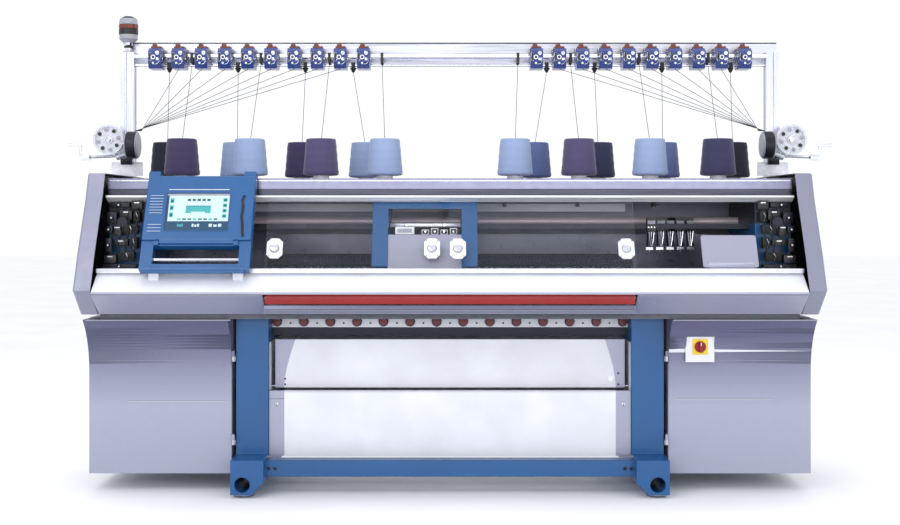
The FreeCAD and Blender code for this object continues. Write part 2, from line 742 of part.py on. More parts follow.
# ------------------------------------------------------------------ carriage
def cam_box(side):
    """Box of cams that floats over one needle bed."""
    low, high = CAM_CLEARANCE, CAM_CLEARANCE + CAM_HEIGHT
    outline = [bed_point(side, 25, low), bed_point(side, 25, high),
               bed_point(side, BED_SLOPE_LENGTH, high), bed_point(side, BED_SLOPE_LENGTH, low)]
    return along_x(outline, CARRIAGE_LEFT, CARRIAGE_RIGHT)


def cam_top(side, y):
    """Height of the cam box's upper face above a Y place."""
    high = CAM_CLEARANCE + CAM_HEIGHT
    along = (abs(y - GAP_Y) - APEX_HALF) / SIN45 - high
    return bed_point(side, along, high)[1]


def arch(x0, x1):
    """Blue bow over the yarn carriers, standing on both cam boxes."""
    front_low = 915.0
    shoe_front = FRONT_RAIL_Y - 19
    inner_y, inner_z = bed_point(-1, 25, CAM_CLEARANCE + CAM_HEIGHT)
    end_y, end_z = bed_point(-1, BED_SLOPE_LENGTH, CAM_CLEARANCE + CAM_HEIGHT)
    shoulder = slope_at(CARRIAGE_DEPTH, 1150.0)
    outline = [(shoe_front, 790.0), (shoe_front, front_low - 12),
               (slope_at(CARRIAGE_DEPTH, front_low), front_low), (shoulder, 1150.0),
               (shoulder + 28, CARRIAGE_TOP), (PILLAR_REAR_Y - 15, CARRIAGE_TOP),
               (PILLAR_REAR_Y, CARRIAGE_TOP - 15), (PILLAR_REAR_Y, cam_top(1, PILLAR_REAR_Y)),
               (ARCH_REAR_Y, cam_top(1, ARCH_REAR_Y)), (ARCH_REAR_Y, ARCH_TOP),
               (ARCH_FRONT_Y, ARCH_TOP), (ARCH_FRONT_Y, inner_z), (inner_y, inner_z),
               (end_y, end_z), (end_y, 790.0)]
    bow = along_x(outline, x0, x1)
    y, z = FRONT_RAIL_Y, FRONT_RAIL_Z
    w = FRONT_RAIL_WEB / 2 + RUN_GAP
    bow = bow.cut(rod((x0 - 1, y, z), (x1 + 1, y, z), FRONT_RAIL_RADIUS + FIT))
    bow = bow.cut(block((x0 - 1, x1 + 1), (y - w, y + w), (780, z)))
    return bow.cut(rod((x0 - 1, REAR_RAIL_Y, REAR_RAIL_Z), (x1 + 1, REAR_RAIL_Y, REAR_RAIL_Z),
                       REAR_RAIL_RADIUS + FIT))


def carriage_bridge():
    """Two bows, the hood between them and the arm that holds the belt."""
    left, right = CARRIAGE_LEFT, CARRIAGE_RIGHT
    shoulder = slope_at(CARRIAGE_DEPTH, 1150.0)
    top = along_x([(shoulder, 1150.0), (shoulder + 28, CARRIAGE_TOP),
                   (PILLAR_REAR_Y - 15, CARRIAGE_TOP), (PILLAR_REAR_Y - 15, ARCH_TOP + 14),
                   (shoulder, ARCH_TOP + 14)], left, right)
    hook_y = BELT_FRONT_Y + BELT_WIDTH + 4
    belt_top = PULLEY_Z + PULLEY_RADIUS + BELT_THICKNESS + RUN_GAP
    arm_y = BELT_FRONT_Y - 23
    arm = along_x([(PILLAR_REAR_Y, cam_top(1, PILLAR_REAR_Y)), (PILLAR_REAR_Y, 906.0),
                   (hook_y, 906.0), (hook_y, belt_top), (arm_y, belt_top),
                   (arm_y, cam_top(1, arm_y))], left + 2, left + PILLAR_WIDTH - 2)
    return fuse([arch(left, left + PILLAR_WIDTH), arch(right - PILLAR_WIDTH, right), top, arm])


def carriage_cover():
    """Folded front cover between the two blue pillars."""
    depth = CARRIAGE_DEPTH + 8
    inner_y, inner_z = bed_point(-1, 25, CAM_CLEARANCE + CAM_HEIGHT)
    low, high = 905.0, 1040.0
    line = [(slope_at(depth, low) + 25, low), (slope_at(depth, low), low),
            (slope_at(depth, high), high), (inner_y, high), (inner_y, inner_z + 1)]
    return folded(line, -SHEET, CARRIAGE_LEFT + PILLAR_WIDTH, CARRIAGE_RIGHT - PILLAR_WIDTH)


add("carriage_bridge", carriage_bridge())
add("carriage_cams", cam_box(-1), cam_box(1))
add("carriage_cover", carriage_cover())


# ------------------------------------------------------------------ carriage drive


def pulley():
    """Flanged belt wheel with its shaft reaching back through the inner panel."""
    y0 = BELT_FRONT_Y - 1
    y1 = BELT_FRONT_Y + BELT_WIDTH + 1
    x, z = PULLEY_X, PULLEY_Z
    wheel = rod((x, y0, z), (x, y1, z), PULLEY_RADIUS)
    flange = rod((x, y0 - 3, z), (x, y0, z), PULLEY_RADIUS + 8)
    shaft = rod((x, y0 - 3, z), (x, y1 + 60, z), SHAFT_RADIUS)
    return fuse([wheel, flange, shaft])


def belt():
    """Endless flat belt around both pulleys."""
    y = (BELT_FRONT_Y, BELT_FRONT_Y + BELT_WIDTH)
    x, z = PULLEY_X, PULLEY_Z
    r = PULLEY_RADIUS + RUN_GAP

    def loop(radius):
        body = block((-x, x), y, (z - radius, z + radius))
        return fuse([body] + [rod((s * x, y[0], z), (s * x, y[1], z), radius) for s in (-1, 1)])
    return loop(r + BELT_THICKNESS - RUN_GAP).cut(loop(r))


def belt_motor():
    """Motor on the back of the inner panel; its flange carries the drive shaft."""
    x, z = PULLEY_X, PULLEY_Z
    y0 = BRACKET_REAR_Y + 1
    body = rod((x, y0, z), (x, y0 + 105, z), 48.0)
    flange = block((x - 52, x + 52), (y0 - 1, y0 + 9), (z - 52, z + 52))
    foot = block((x - 45, x + 45), (y0, y0 + 80), (BASE_TOP, z - 40))
    motor = fuse([body, flange, foot])
    bore = rod((x, y0 - 10, z), (x, y0 + 60, z), SHAFT_RADIUS + FIT)
    return motor.cut(bore)


def idler_bearing():
    """Pillow block that carries the left belt wheel's shaft."""
    x, z = -PULLEY_X, PULLEY_Z
    y0 = BRACKET_REAR_Y
    body = block((x - 30, x + 30), (y0, y0 + 30), (BASE_TOP, z + 25))
    return body.cut(rod((x, y0 - 1, z), (x, y0 + 31, z), SHAFT_RADIUS + FIT))


right_pulley = pulley()
add("drive_pulley", right_pulley)
add("idler_pulley", mirrored(right_pulley))
add("drive_belt", belt())
add("drive_motor", belt_motor())


# ------------------------------------------------------------------ yarn carriers
def yarn_carrier(index):
    """Block that straddles its rail, with two spring levers and a nozzle."""
    x = FIRST_CARRIER_X + index * CARRIER_PITCH
    y = carrier_rail_y(index)
    low, high = CARRIER_RAIL_Z - 8, CARRIER_RAIL_Z + CARRIER_RAIL_HEIGHT + 26
    body = block((x - 19, x + 19), (y - 13, y + 13), (low, high))
    w = CARRIER_RAIL_WIDTH / 2 + RUN_GAP
    body = body.cut(block((x - 20, x + 20), (y - w, y + w),
                          (CARRIER_RAIL_Z - RUN_GAP, CARRIER_RAIL_Z + CARRIER_RAIL_HEIGHT + RUN_GAP)))
    body = body.cut(block((x - 20, x + 20), (y - 1.5, y + 1.5), (low - 1, CARRIER_RAIL_Z)))
    tip_y = GAP_Y + (index - (CARRIERS - 1) / 2) * NOZZLE_PITCH
    side = -1 if tip_y < y else 1
    root = y + side * 6
    levers = []
    for dx in (-11, 11):
        levers.append(along_x([(root - 3, low + 1), (root + 3, low + 1), (tip_y + 2, NOZZLE_Z + 20),
                               (tip_y - 2, NOZZLE_Z + 20)], x + dx - 3, x + dx + 3))
    comb = block((x - 15, x + 15), (tip_y - 3, tip_y + 3), (NOZZLE_Z + 10, NOZZLE_Z + 22))
    nozzle = Part.makeCone(1.6, 3.0, 12, V(x, tip_y, NOZZLE_Z))
    return fuse([body, comb, nozzle] + levers)


for number in range(CARRIERS):
    add("yarn_carrier_%d" % (number + 1), yarn_carrier(number))


# ------------------------------------------------------------------ take-down
def takedown_roller(side):
    """Grooved roller under the needle gap, with journals at both ends."""
    y = GAP_Y + side * ROLLER_SPLIT
    barrel = rod((-ROLLER_HALF, y, ROLLER_Z), (ROLLER_HALF, y, ROLLER_Z), ROLLER_RADIUS)
    shaft = rod((-ROLLER_HALF - 22, y, ROLLER_Z), (ROLLER_HALF + 22, y, ROLLER_Z), 8.0)
    return fuse([barrel, shaft])


def roller_plate():
    """Bearing plate between the flanks of the casting, for one end of both rollers."""
    half = PASSAGE_HALF
    x0 = ROLLER_HALF + 4
    plate = block((x0, x0 + 12), (GAP_Y - half, GAP_Y + half), (BASE_TOP, ROLLER_Z + 30))
    for side in (-1, 1):
        y = GAP_Y + side * ROLLER_SPLIT
        plate = plate.cut(rod((x0 - 1, y, ROLLER_Z), (x0 + 13, y, ROLLER_Z), 8.0 + FIT))
    bridge = block((x0, x0 + 12), (GAP_Y - half, GAP_Y + half), (BASE_BOTTOM, BASE_TOP))
    return fuse([plate, bridge])


def pressure_channel():
    """White channel under the base that holds the row of adjusting screws."""
    y, top = CHANNEL_FRONT_Y, BASE_BOTTOM
    bottom = top - CHANNEL_HEIGHT
    line = [(y + CHANNEL_DEPTH, bottom), (y, bottom), (y, top), (y + CHANNEL_DEPTH, top)]
    channel = folded(line, -SHEET, -CHANNEL_HALF, CHANNEL_HALF)
    for x in screw_places():
        channel = channel.cut(rod((x, y - 1, SCREW_Z), (x, y + SHEET + 1, SCREW_Z), 6.0))
    return channel


SCREW_Z = BASE_BOTTOM - CHANNEL_HEIGHT / 2 - 2


def screw_places():
    """X of every adjusting screw."""
    return [(i - (SCREWS - 1) / 2) * SCREW_PITCH for i in range(SCREWS)]


def adjusting_screw(x):
    """Six-sided maroon head on a shank through the channel."""
    y = CHANNEL_FRONT_Y
    ring = []
    for i in range(6):
        a = math.radians(60 * i)
        ring.append(V(x + SCREW_RADIUS * math.cos(a), y - 14, SCREW_Z + SCREW_RADIUS * math.sin(a)))
    head = Part.Face(Part.makePolygon(ring + ring[:1])).extrude(V(0, 14, 0))
    shank = rod((x, y - 1, SCREW_Z), (x, y + CHANNEL_DEPTH - 4, SCREW_Z), 6.0)
    return fuse([head, shank])


def takedown_rail():
    """Black rail under the channel."""
    top = BASE_BOTTOM - CHANNEL_HEIGHT
    return block((-CHANNEL_HALF, CHANNEL_HALF), (CHANNEL_FRONT_Y + 4, CHANNEL_FRONT_Y + 16),
                 (top - 34, top))


add("takedown_roller_front", takedown_roller(-1))
add("takedown_roller_rear", takedown_roller(1))
add("bearing_plates", idler_bearing(), *both(roller_plate()), *both(bar_pivot()))
add("takedown_channel", pressure_channel(), takedown_rail())
add("takedown_screws", *[adjusting_screw(x) for x in screw_places()])


# ------------------------------------------------------------------ fabric bin
FLAP_AXIS = (FLAP_FRONT_Y + 6.0, FLAP_BOTTOM + 6.0)
FLAP_PIN = 4.0
LOCK_X = 658.0
LOCK_Z = FLAP_BOTTOM + 38.0


def fabric_bin():
    """Folded bin hung between the stands, open at the top and at the front."""
    front = PANEL_FRONT_Y + 22
    line = [(front, PANEL_BOTTOM + 12), (BIN_REAR_Y, PANEL_BOTTOM + 12), (BIN_REAR_Y, BIN_TOP)]
    half = STAND_INNER
    body = folded(line, SHEET, -half, half)
    sides = []
    for x in (-half, half - SHEET):
        wall = block((x, x + SHEET), (front, BIN_REAR_Y), (PANEL_BOTTOM + 12, BIN_TOP - 60))
        y, z = FLAP_AXIS
        sides.append(wall.cut(rod((x - 1, y, z), (x + SHEET + 1, y, z), FLAP_PIN + FIT)))
    return fuse([body] + sides)


def bin_panel():
    """White panel with folded edges across the lower front of the bin."""
    half = STAND_INNER - 1.5
    y = PANEL_FRONT_Y
    skin = block((-half, half), (y, y + 22), (PANEL_BOTTOM, PANEL_TOP))
    hollow = block((-half + SHEET, half - SHEET), (y + SHEET, y + 23),
                   (PANEL_BOTTOM + SHEET, PANEL_TOP - SHEET))
    skin = skin.cut(hollow)
    for side in (-1, 1):
        pin_z = (PANEL_BOTTOM + PANEL_TOP) / 2
        skin = fuse([skin, rod((side * (half - 1), y + 11, pin_z), (side * STAND_INNER, y + 11, pin_z),
                               5.0)])
    return skin


def fabric_flap():
    """Tray-shaped flap that tips forward about pins at its lower edge."""
    y, t = FLAP_FRONT_Y, FLAP_THICKNESS
    tray = block((-FLAP_HALF, FLAP_HALF), (y, y + t), (FLAP_BOTTOM, FLAP_TOP))
    tray = tray.cut(block((-FLAP_HALF + 3, FLAP_HALF - 3), (y + 3, y + t + 1),
                          (FLAP_BOTTOM + t, FLAP_TOP - 3)))
    tray = tray.cut(rod((LOCK_X, y - 1, LOCK_Z), (LOCK_X, y + 4, LOCK_Z), 6.0 + FIT))
    pins = [rod((s * (FLAP_HALF - 20), *FLAP_AXIS), (s * (STAND_INNER - 0.5), *FLAP_AXIS), FLAP_PIN)
            for s in (-1, 1)]
    return fuse([tray] + pins)


def flap_lock():
    """Quarter-turn lock through the flap, with its tongue behind."""
    y = FLAP_FRONT_Y
    head = rod((LOCK_X, y - 4, LOCK_Z), (LOCK_X, y - RUN_GAP, LOCK_Z), 12.0)
    head = head.cut(block((LOCK_X - 9, LOCK_X + 9), (y - 5, y - 3), (LOCK_Z - 1.5, LOCK_Z + 1.5)))
    shank = rod((LOCK_X, y - 1, LOCK_Z), (LOCK_X, y + 9, LOCK_Z), 6.0)
    tongue = block((LOCK_X - 7, LOCK_X + 34), (y + 3 + RUN_GAP, y + 8), (LOCK_Z - 7, LOCK_Z + 7))
    return fuse([head, shank, tongue])


add("fabric_bin", fabric_bin())
add("bin_panel", bin_panel())
add("fabric_flap", fabric_flap())
add("flap_lock", flap_lock())


# ------------------------------------------------------------------ cabinets and doors
def cabinet():
    """Sheet steel cabinet, open at the front."""
    y = (CABINET_FRONT_Y, CABINET_REAR_Y)
    t = CABINET_WALL
    shell = block((CABINET_INNER, BODY_HALF - 2), y, (CABINET_BOTTOM, BASE_BOTTOM))
    return shell.cut(block((CABINET_INNER + t, BODY_HALF - 2 - t), (y[0] - 1, y[1] - t),
                           (CABINET_BOTTOM + t, BASE_BOTTOM - t)))


def cabinet_spacer():
    """Square bar that ties a cabinet to the stand beside it."""
    z = CABINET_BOTTOM + 250
    return block((STAND_OUTER, CABINET_INNER), (60, 120), (z, z + 60))


def board_rack():
    """Rack of boards on the back wall of a cabinet."""
    y1 = CABINET_REAR_Y - CABINET_WALL
    x0, x1 = CABINET_INNER + 60, BODY_HALF - 70
    parts = [block((x0, x1), (y1 - 20, y1), (140, 640))]
    for i in range(6):
        x = x0 + 30 + i * (x1 - x0 - 72) / 5
        parts.append(block((x, x + 12), (y1 - 170, y1 - 19), (200, 580)))
    return fuse(parts)


def power_unit():
    """Finned power block on the floor of a cabinet."""
    x0, x1 = -BODY_HALF + 90, -CABINET_INNER - 90
    z0 = CABINET_BOTTOM + CABINET_WALL
    parts = [block((x0, x1), (0, 300), (z0, z0 + 260))]
    count = 12
    for i in range(count):
        x = x0 + i * (x1 - x0 - 6) / (count - 1)
        parts.append(block((x, x + 6), (0, 300), (z0 + 259, z0 + 320)))
    return fuse(parts)


DOOR_INNER = CABINET_INNER
DOOR_OUTER = BODY_HALF - 3.0
DOOR_REAR = CABINET_FRONT_Y - 1.0
DOOR_LINE = [(back(230.0), CABINET_BOTTOM), (back(230.0), 490.0)]
DOOR_FLARE = (back(200.0), 616.0)
DOOR_HEAD = (back(132.0), DOOR_TOP)


def door_skin():
    """Side outline of a door: straight below, swept forward in an arc at the top."""
    start = V(0, DOOR_LINE[1][0], DOOR_LINE[1][1])
    arc = Part.Arc(start, V(0, *DOOR_FLARE), V(0, *DOOR_HEAD)).toShape()
    foot = V(0, DOOR_LINE[0][0], DOOR_LINE[0][1])
    corners = [V(0, *DOOR_HEAD), V(0, DOOR_REAR, DOOR_TOP), V(0, DOOR_REAR, CABINET_BOTTOM), foot]
    edges = [Part.LineSegment(foot, start).toShape(), arc]
    for a, b in zip(corners, corners[1:]):
        edges.append(Part.LineSegment(a, b).toShape())
    face = Part.Face(Part.Wire(edges))
    return face.extrude(V(DOOR_OUTER - DOOR_INNER, 0, 0))


def door():
    """Hollow curved door, open at the back."""
    body = door_skin()
    body.translate(V(DOOR_INNER, 0, 0))
    core = door_skin()
    core.translate(V(DOOR_INNER, DOOR_SHEET * 1.4, -DOOR_SHEET))
    t = DOOR_SHEET
    keep = block((DOOR_INNER + t, DOOR_OUTER - t), (back(0), DOOR_REAR + 40),
                 (CABINET_BOTTOM + t, DOOR_TOP - t))
    return body.cut(core.common(keep).fuse(
        block((DOOR_INNER + t, DOOR_OUTER - t), (DOOR_REAR - 8, DOOR_REAR + 1),
              (CABINET_BOTTOM + t, DOOR_TOP - t))))


def door_hinge_fixed():
    """Lower half of each hinge, with its pin, on a leaf that reaches the stand."""
    halves = []
    for z in HINGE_ZS:
        barrel = rod((DOOR_AXIS_X, DOOR_AXIS_Y, z), (DOOR_AXIS_X, DOOR_AXIS_Y, z + HINGE_HEIGHT / 2),
                     HINGE_RADIUS)
        pin = rod((DOOR_AXIS_X, DOOR_AXIS_Y, z), (DOOR_AXIS_X, DOOR_AXIS_Y, z + HINGE_HEIGHT),
                  HINGE_PIN)
        leaf = block((STAND_OUTER, STAND_OUTER + 3), (DOOR_AXIS_Y, back(LEG_SETBACK) + 30),
                     (z, z + HINGE_HEIGHT / 2))
        halves.append(fuse([barrel, pin, leaf]))
    return halves


def door_hinge_moving():
    """Upper half of each hinge, turning on the pin, on a leaf that reaches the door."""
    halves = []
    for z in HINGE_ZS:
        z0 = z + HINGE_HEIGHT / 2 + RUN_GAP
        z1 = z + HINGE_HEIGHT + 2
        barrel = rod((DOOR_AXIS_X, DOOR_AXIS_Y, z0), (DOOR_AXIS_X, DOOR_AXIS_Y, z1), HINGE_RADIUS)
        leaf = block((DOOR_AXIS_X, DOOR_INNER), (DOOR_AXIS_Y, DOOR_AXIS_Y + 18), (z0, z1))
        bore = rod((DOOR_AXIS_X, DOOR_AXIS_Y, z0 - 1), (DOOR_AXIS_X, DOOR_AXIS_Y, z1 - 1.5),
                   HINGE_PIN + FIT)
        halves.append(fuse([barrel, leaf]).cut(bore))
    return halves


def switch_plate():
    """Square yellow plate in front of the right door."""
    half = 32.0
    y = switch_front()
    plate = block((SWITCH_X - half, SWITCH_X + half), (y - 3, y), (SWITCH_Z - half, SWITCH_Z + half))
    boss = rod((SWITCH_X, y - 1, SWITCH_Z), (SWITCH_X, y + 8, SWITCH_Z), 10.0)
    plate = fuse([plate, boss])
    bore = rod((SWITCH_X, y - 4, SWITCH_Z), (SWITCH_X, y + 9, SWITCH_Z), SPINDLE_RADIUS + RUN_GAP)
    return plate.cut(bore)


def switch_front():
    """Y of the flat pocket floor that the switch stands on."""
    return back(212.0)


def with_switch_pocket(shape):
    """Flat pocket in the right door for the main switch."""
    y = switch_front()
    half = 56.0
    low, high = SWITCH_Z - 60, SWITCH_Z + 42
    pocket = block((SWITCH_X - half, SWITCH_X + half), (back(100), y), (low, high))
    floor = block((SWITCH_X - half - 2, SWITCH_X + half + 2), (y, y + 3), (low - 2, high + 2))
    rim = block((SWITCH_X - half - 2, SWITCH_X + half + 2), (back(150), y + 3), (low - 2, high + 2))
    rim = rim.cut(block((SWITCH_X - half, SWITCH_X + half), (back(100), y), (low, high)))
    solid_door = door_skin()
    solid_door.translate(V(DOOR_INNER, 0, 0))
    rim = rim.common(solid_door)
    shape = fuse([shape.cut(pocket), rim, floor])
    return shape.cut(rod((SWITCH_X, y - 1, SWITCH_Z), (SWITCH_X, y + 12, SWITCH_Z), 10.0))


def switch_knob():
    """Red rotary grip on its spindle."""
    y = switch_front() - 3 - RUN_GAP
    disc = rod((SWITCH_X, y - 8, SWITCH_Z), (SWITCH_X, y, SWITCH_Z), 22.0)
    grip = block((SWITCH_X - 6, SWITCH_X + 6), (y - 24, y - 7), (SWITCH_Z - 21, SWITCH_Z + 21))
    grip = rounded(grip, 3.0, lambda e: parallel(e, 1))
    spindle = rod((SWITCH_X, y - 1, SWITCH_Z), (SWITCH_X, y + 10, SWITCH_Z),
                  SPINDLE_RADIUS)
    return fuse([disc, grip, spindle])


add("cabinets", *both(cabinet()), *both(cabinet_spacer()))
add("cabinet_electrics", board_rack(), power_unit())
right_door = fuse([door()] + door_hinge_moving())
add("left_door", mirrored(right_door))
add("right_door", with_switch_pocket(right_door), switch_plate())
fixed_hinges = door_hinge_fixed()
add("cabinet_hinges", *(fixed_hinges + [mirrored(h) for h in fixed_hinges]))
add("switch_knob", switch_knob())


# ------------------------------------------------------------------ yarn shelf and cones
def yarn_shelf():
    """Folded table across the top, with its edges turned down."""
    y0, y1 = back(SHELF_SETBACK), back(SHELF_SETBACK + SHELF_DEPTH)
    line = [(y0, FASCIA_BOTTOM), (y0, SHELF_TOP), (y1, SHELF_TOP), (y1, FASCIA_BOTTOM)]
    return folded(line, -SHELF_SHEET, -COVER_HALF, COVER_HALF)


def cone_places():
    """Middle of every yarn cone on the shelf."""
    front = [(s * x, back(FRONT_CONE_BACK)) for x in FRONT_CONES for s in (-1, 1)]
    rear = [(s * x, back(REAR_CONE_BACK)) for x in REAR_CONES for s in (-1, 1)]
    return front + rear


def cone_holder(x, y):
    """White disc and short tube with a peg that a cone drops over."""
    z = SHELF_TOP
    disc = rod((x, y, z), (x, y, z + 4), 52.0)
    tube = rod((x, y, z + 3), (x, y, z + CONE_RISE), 34.0)
    peg = rod((x, y, z + CONE_RISE - 1), (x, y, z + CONE_RISE + 90), 14.0)
    return fuse([disc, tube, peg])


def yarn_cone(x, y):
    """Wound cone with the hollow that its peg fills."""
    z = SHELF_TOP + CONE_RISE
    cone = Part.makeCone(CONE_BASE, CONE_TOP, CONE_HEIGHT, V(x, y, z))
    cone = rounded(cone, 6.0, lambda e: e.Closed)
    core = Part.makeCone(24.0, 17.0, CONE_HEIGHT + 2, V(x, y, z - 1))
    return cone.cut(core)


add("yarn_shelf", yarn_shelf())
add("cone_holders", *[cone_holder(x, y) for x, y in cone_places()])
add("yarn_cones", *[yarn_cone(x, y) for x, y in cone_places()])


# ------------------------------------------------------------------ posts and yarn beam
BEAM_FRONT_Y = back(UNIT_SETBACK + UNIT_DEPTH)
BEAM_HALF = POST_INNER + POST_SIZE
RAIL_RODS = ((back(UNIT_SETBACK + 68), 1819.0, 11.0), (back(UNIT_SETBACK + 84), 1782.0, 7.0))


def post():
    """Grooved square extrusion, standing on an ear of the end bracket."""
    x, y, s = POST_INNER, POST_FRONT_Y, POST_SIZE
    body = block((x, x + s), (y, y + s), (POST_FOOT_Z, POST_TOP))
    mid_x, mid_y = x + s / 2, y + s / 2
    for gx, gy in ((mid_x, y), (mid_x, y + s), (x, mid_y), (x + s, mid_y)):
        body = body.cut(block((gx - 4, gx + 4), (gy - 8, gy + 8), (POST_FOOT_Z - 1, POST_TOP + 1))
                        if gy in (y, y + s) else
                        block((gx - 8, gx + 8), (gy - 4, gy + 4), (POST_FOOT_Z - 1, POST_TOP + 1)))
    return body.cut(rod((mid_x, mid_y, POST_FOOT_Z - 1), (mid_x, mid_y, POST_TOP + 1), 9.0))


def yarn_beam():
    """Long channel bolted to the back of both posts."""
    y0, y1 = BEAM_FRONT_Y, BEAM_FRONT_Y + BEAM_DEPTH
    line = [(y1, BEAM_BOTTOM), (y0, BEAM_BOTTOM), (y0, BEAM_TOP), (y1, BEAM_TOP)]
    return folded(line, -BEAM_SHEET, -BEAM_HALF, BEAM_HALF)


def beam_rail(y, z, radius):
    """Bright rod between the posts; the tension units hang on it."""
    return rod((-POST_INNER, y, z), (POST_INNER, y, z), radius)


def unit_places():
    """X of every tension unit."""
    return [s * (UNIT_FIRST + i * UNIT_PITCH) for i in range(UNITS) for s in (-1, 1)]


UNIT_FRONT_Y = back(UNIT_SETBACK)
UNIT_Z = (1760.0, 1850.0)


def tension_unit(x):
    """Blue housing threaded on both rods and seated against the beam."""
    w = UNIT_WIDTH / 2
    y0, y1 = UNIT_FRONT_Y, BEAM_FRONT_Y
    z0, z1 = UNIT_Z
    outline = [(y0, z0 + 26), (y0, z1 - 16), (y0 + 22, z1), (y1, z1), (y1, z0 + 34),
               (y1 - 26, z0), (y0 + 14, z0)]
    body = along_x(outline, x - w, x + w)
    for y, z, radius in RAIL_RODS:
        body = body.cut(rod((x - w - 1, y, z), (x + w + 1, y, z), radius))
    return body


def tension_cap(x):
    """Brown rounded cap with its tension disc on top of a housing."""
    z = UNIT_Z[1]
    y = UNIT_FRONT_Y
    cap = block((x - 22, x + 22), (y + 26, y + 92), (z, z + 9))
    cap = rounded(cap, 8.0, lambda e: parallel(e, 2))
    knob = rod((x - 6, y + 40, z + 8), (x - 6, y + 40, z + 20), 11.0)
    knob = rounded(knob, 3.0, lambda e: e.Closed and e.BoundBox.ZMin > z + 19)
    return fuse([cap, knob])


def thread_hook(x):
    """White ceramic hook on the front of a housing."""
    y, z = UNIT_FRONT_Y, UNIT_Z[0] + 48
    ring = Part.makeTorus(8.0, 2.2, V(x - 4, y - 6, z), V(0, 1, 0))
    stem = rod((x - 4, y - 6, z - 8), (x - 4, y, z - 8), 1.6)
    eye = rod((x - 4, y - 7, z - 26), (x - 4, y, z - 26), 4.5)
    eye = eye.cut(rod((x - 4, y - 8, z - 26), (x - 4, y - 3, z - 26), 2.0))
    return [fuse([ring, stem]), eye]


YARN = 1.1
EYE_PLAY = 0.7
EYE_BOTTOM = 1750.0
REAR_EYES = (428.0, 640.0, 938.0, 1242.0)
FRONT_EYES = (300.0, 532.0, 834.0, 1138.0)
REAR_EYE_Y = back(UNIT_SETBACK + 84)
FRONT_EYE_Y = back(UNIT_SETBACK + 68)


def guide_eye(x):
    """Black funnel clamped on the lower rod, for a rear cone's yarn."""
    y, z, radius = RAIL_RODS[1]
    clamp = block((x - 8, x + 8), (y - 14, y + 14), (z - 14, z + 12))
    clamp = clamp.cut(rod((x - 9, y, z), (x + 9, y, z), radius))
    funnel = Part.makeCone(5.0, 15.0, 20, V(x, y, EYE_BOTTOM))
    bore = rod((x, y, EYE_BOTTOM - 1), (x, y, z - radius - 1), YARN + EYE_PLAY)
    return fuse([clamp, funnel]).cut(bore)


def front_eye(x):
    """Small eye clamped on the upper rod, for a front cone's yarn."""
    y, z, radius = RAIL_RODS[0]
    clamp = block((x - 6, x + 6), (y - 16, y + 16), (z - 30, z + 15))
    clamp = clamp.cut(rod((x - 7, y, z), (x + 7, y, z), radius))
    return clamp.cut(rod((x, y, z - 31), (x, y, z - 12), YARN + EYE_PLAY))


add("yarn_posts", *both(post()))
add("yarn_beam", yarn_beam(), *[beam_rail(*place) for place in RAIL_RODS])
units = []
for unit_x in unit_places():
    units += [tension_unit(unit_x), tension_cap(unit_x)] + thread_hook(unit_x)
add("tension_units", *units)
eyes = [guide_eye(s * x) for x in REAR_EYES for s in (-1, 1)]
eyes += [front_eye(s * x) for x in FRONT_EYES for s in (-1, 1)]
eyes += [yarn_clip(x) for x in CLIP_PLACES]
add("guide_eyes", *eyes)


# ------------------------------------------------------------------ signal lamp
LAMP_Y = POST_FRONT_Y + POST_SIZE / 2
LAMP_NECK = 52.0


def lamp_base():
    """Metal neck and cup on top of the left post."""
    z = POST_TOP
    neck = rod((LAMP_X, LAMP_Y, z), (LAMP_X, LAMP_Y, z + LAMP_NECK), 20.0)
    foot = rod((LAMP_X, LAMP_Y, z), (LAMP_X, LAMP_Y, z + 7), 28.0)
    cup = Part.makeCone(30.0, LAMP_RADIUS, 16, V(LAMP_X, LAMP_Y, z + LAMP_NECK - 1))
    ring = rod((LAMP_X, LAMP_Y, z + LAMP_NECK + 15), (LAMP_X, LAMP_Y, z + LAMP_NECK + 30), LAMP_RADIUS)
    return fuse([neck, foot, cup, ring])


def lamp_lens():
    """Smoked lens with a dark band, closed by a domed cap."""
    z = POST_TOP + LAMP_NECK + 30
    lens = rod((LAMP_X, LAMP_Y, z), (LAMP_X, LAMP_Y, LAMP_TOP - 26), LAMP_RADIUS)
    dome = Part.makeCone(LAMP_RADIUS, 30.0, 20, V(LAMP_X, LAMP_Y, LAMP_TOP - 26))
    button = rod((LAMP_X, LAMP_Y, LAMP_TOP - 7), (LAMP_X, LAMP_Y, LAMP_TOP), 22.0)
    return fuse([lens, dome, button])


add("signal_lamp", lamp_base(), lamp_lens())


# ------------------------------------------------------------------ side feeders
WHEEL_X = POST_INNER + 92.0
WHEEL_Z = 1447.0
WHEEL_RADIUS = 66.0
WHEEL_Y = 180.0
NOZZLE_X = 1655.0
NOZZLE_HEIGHT = 1430.0


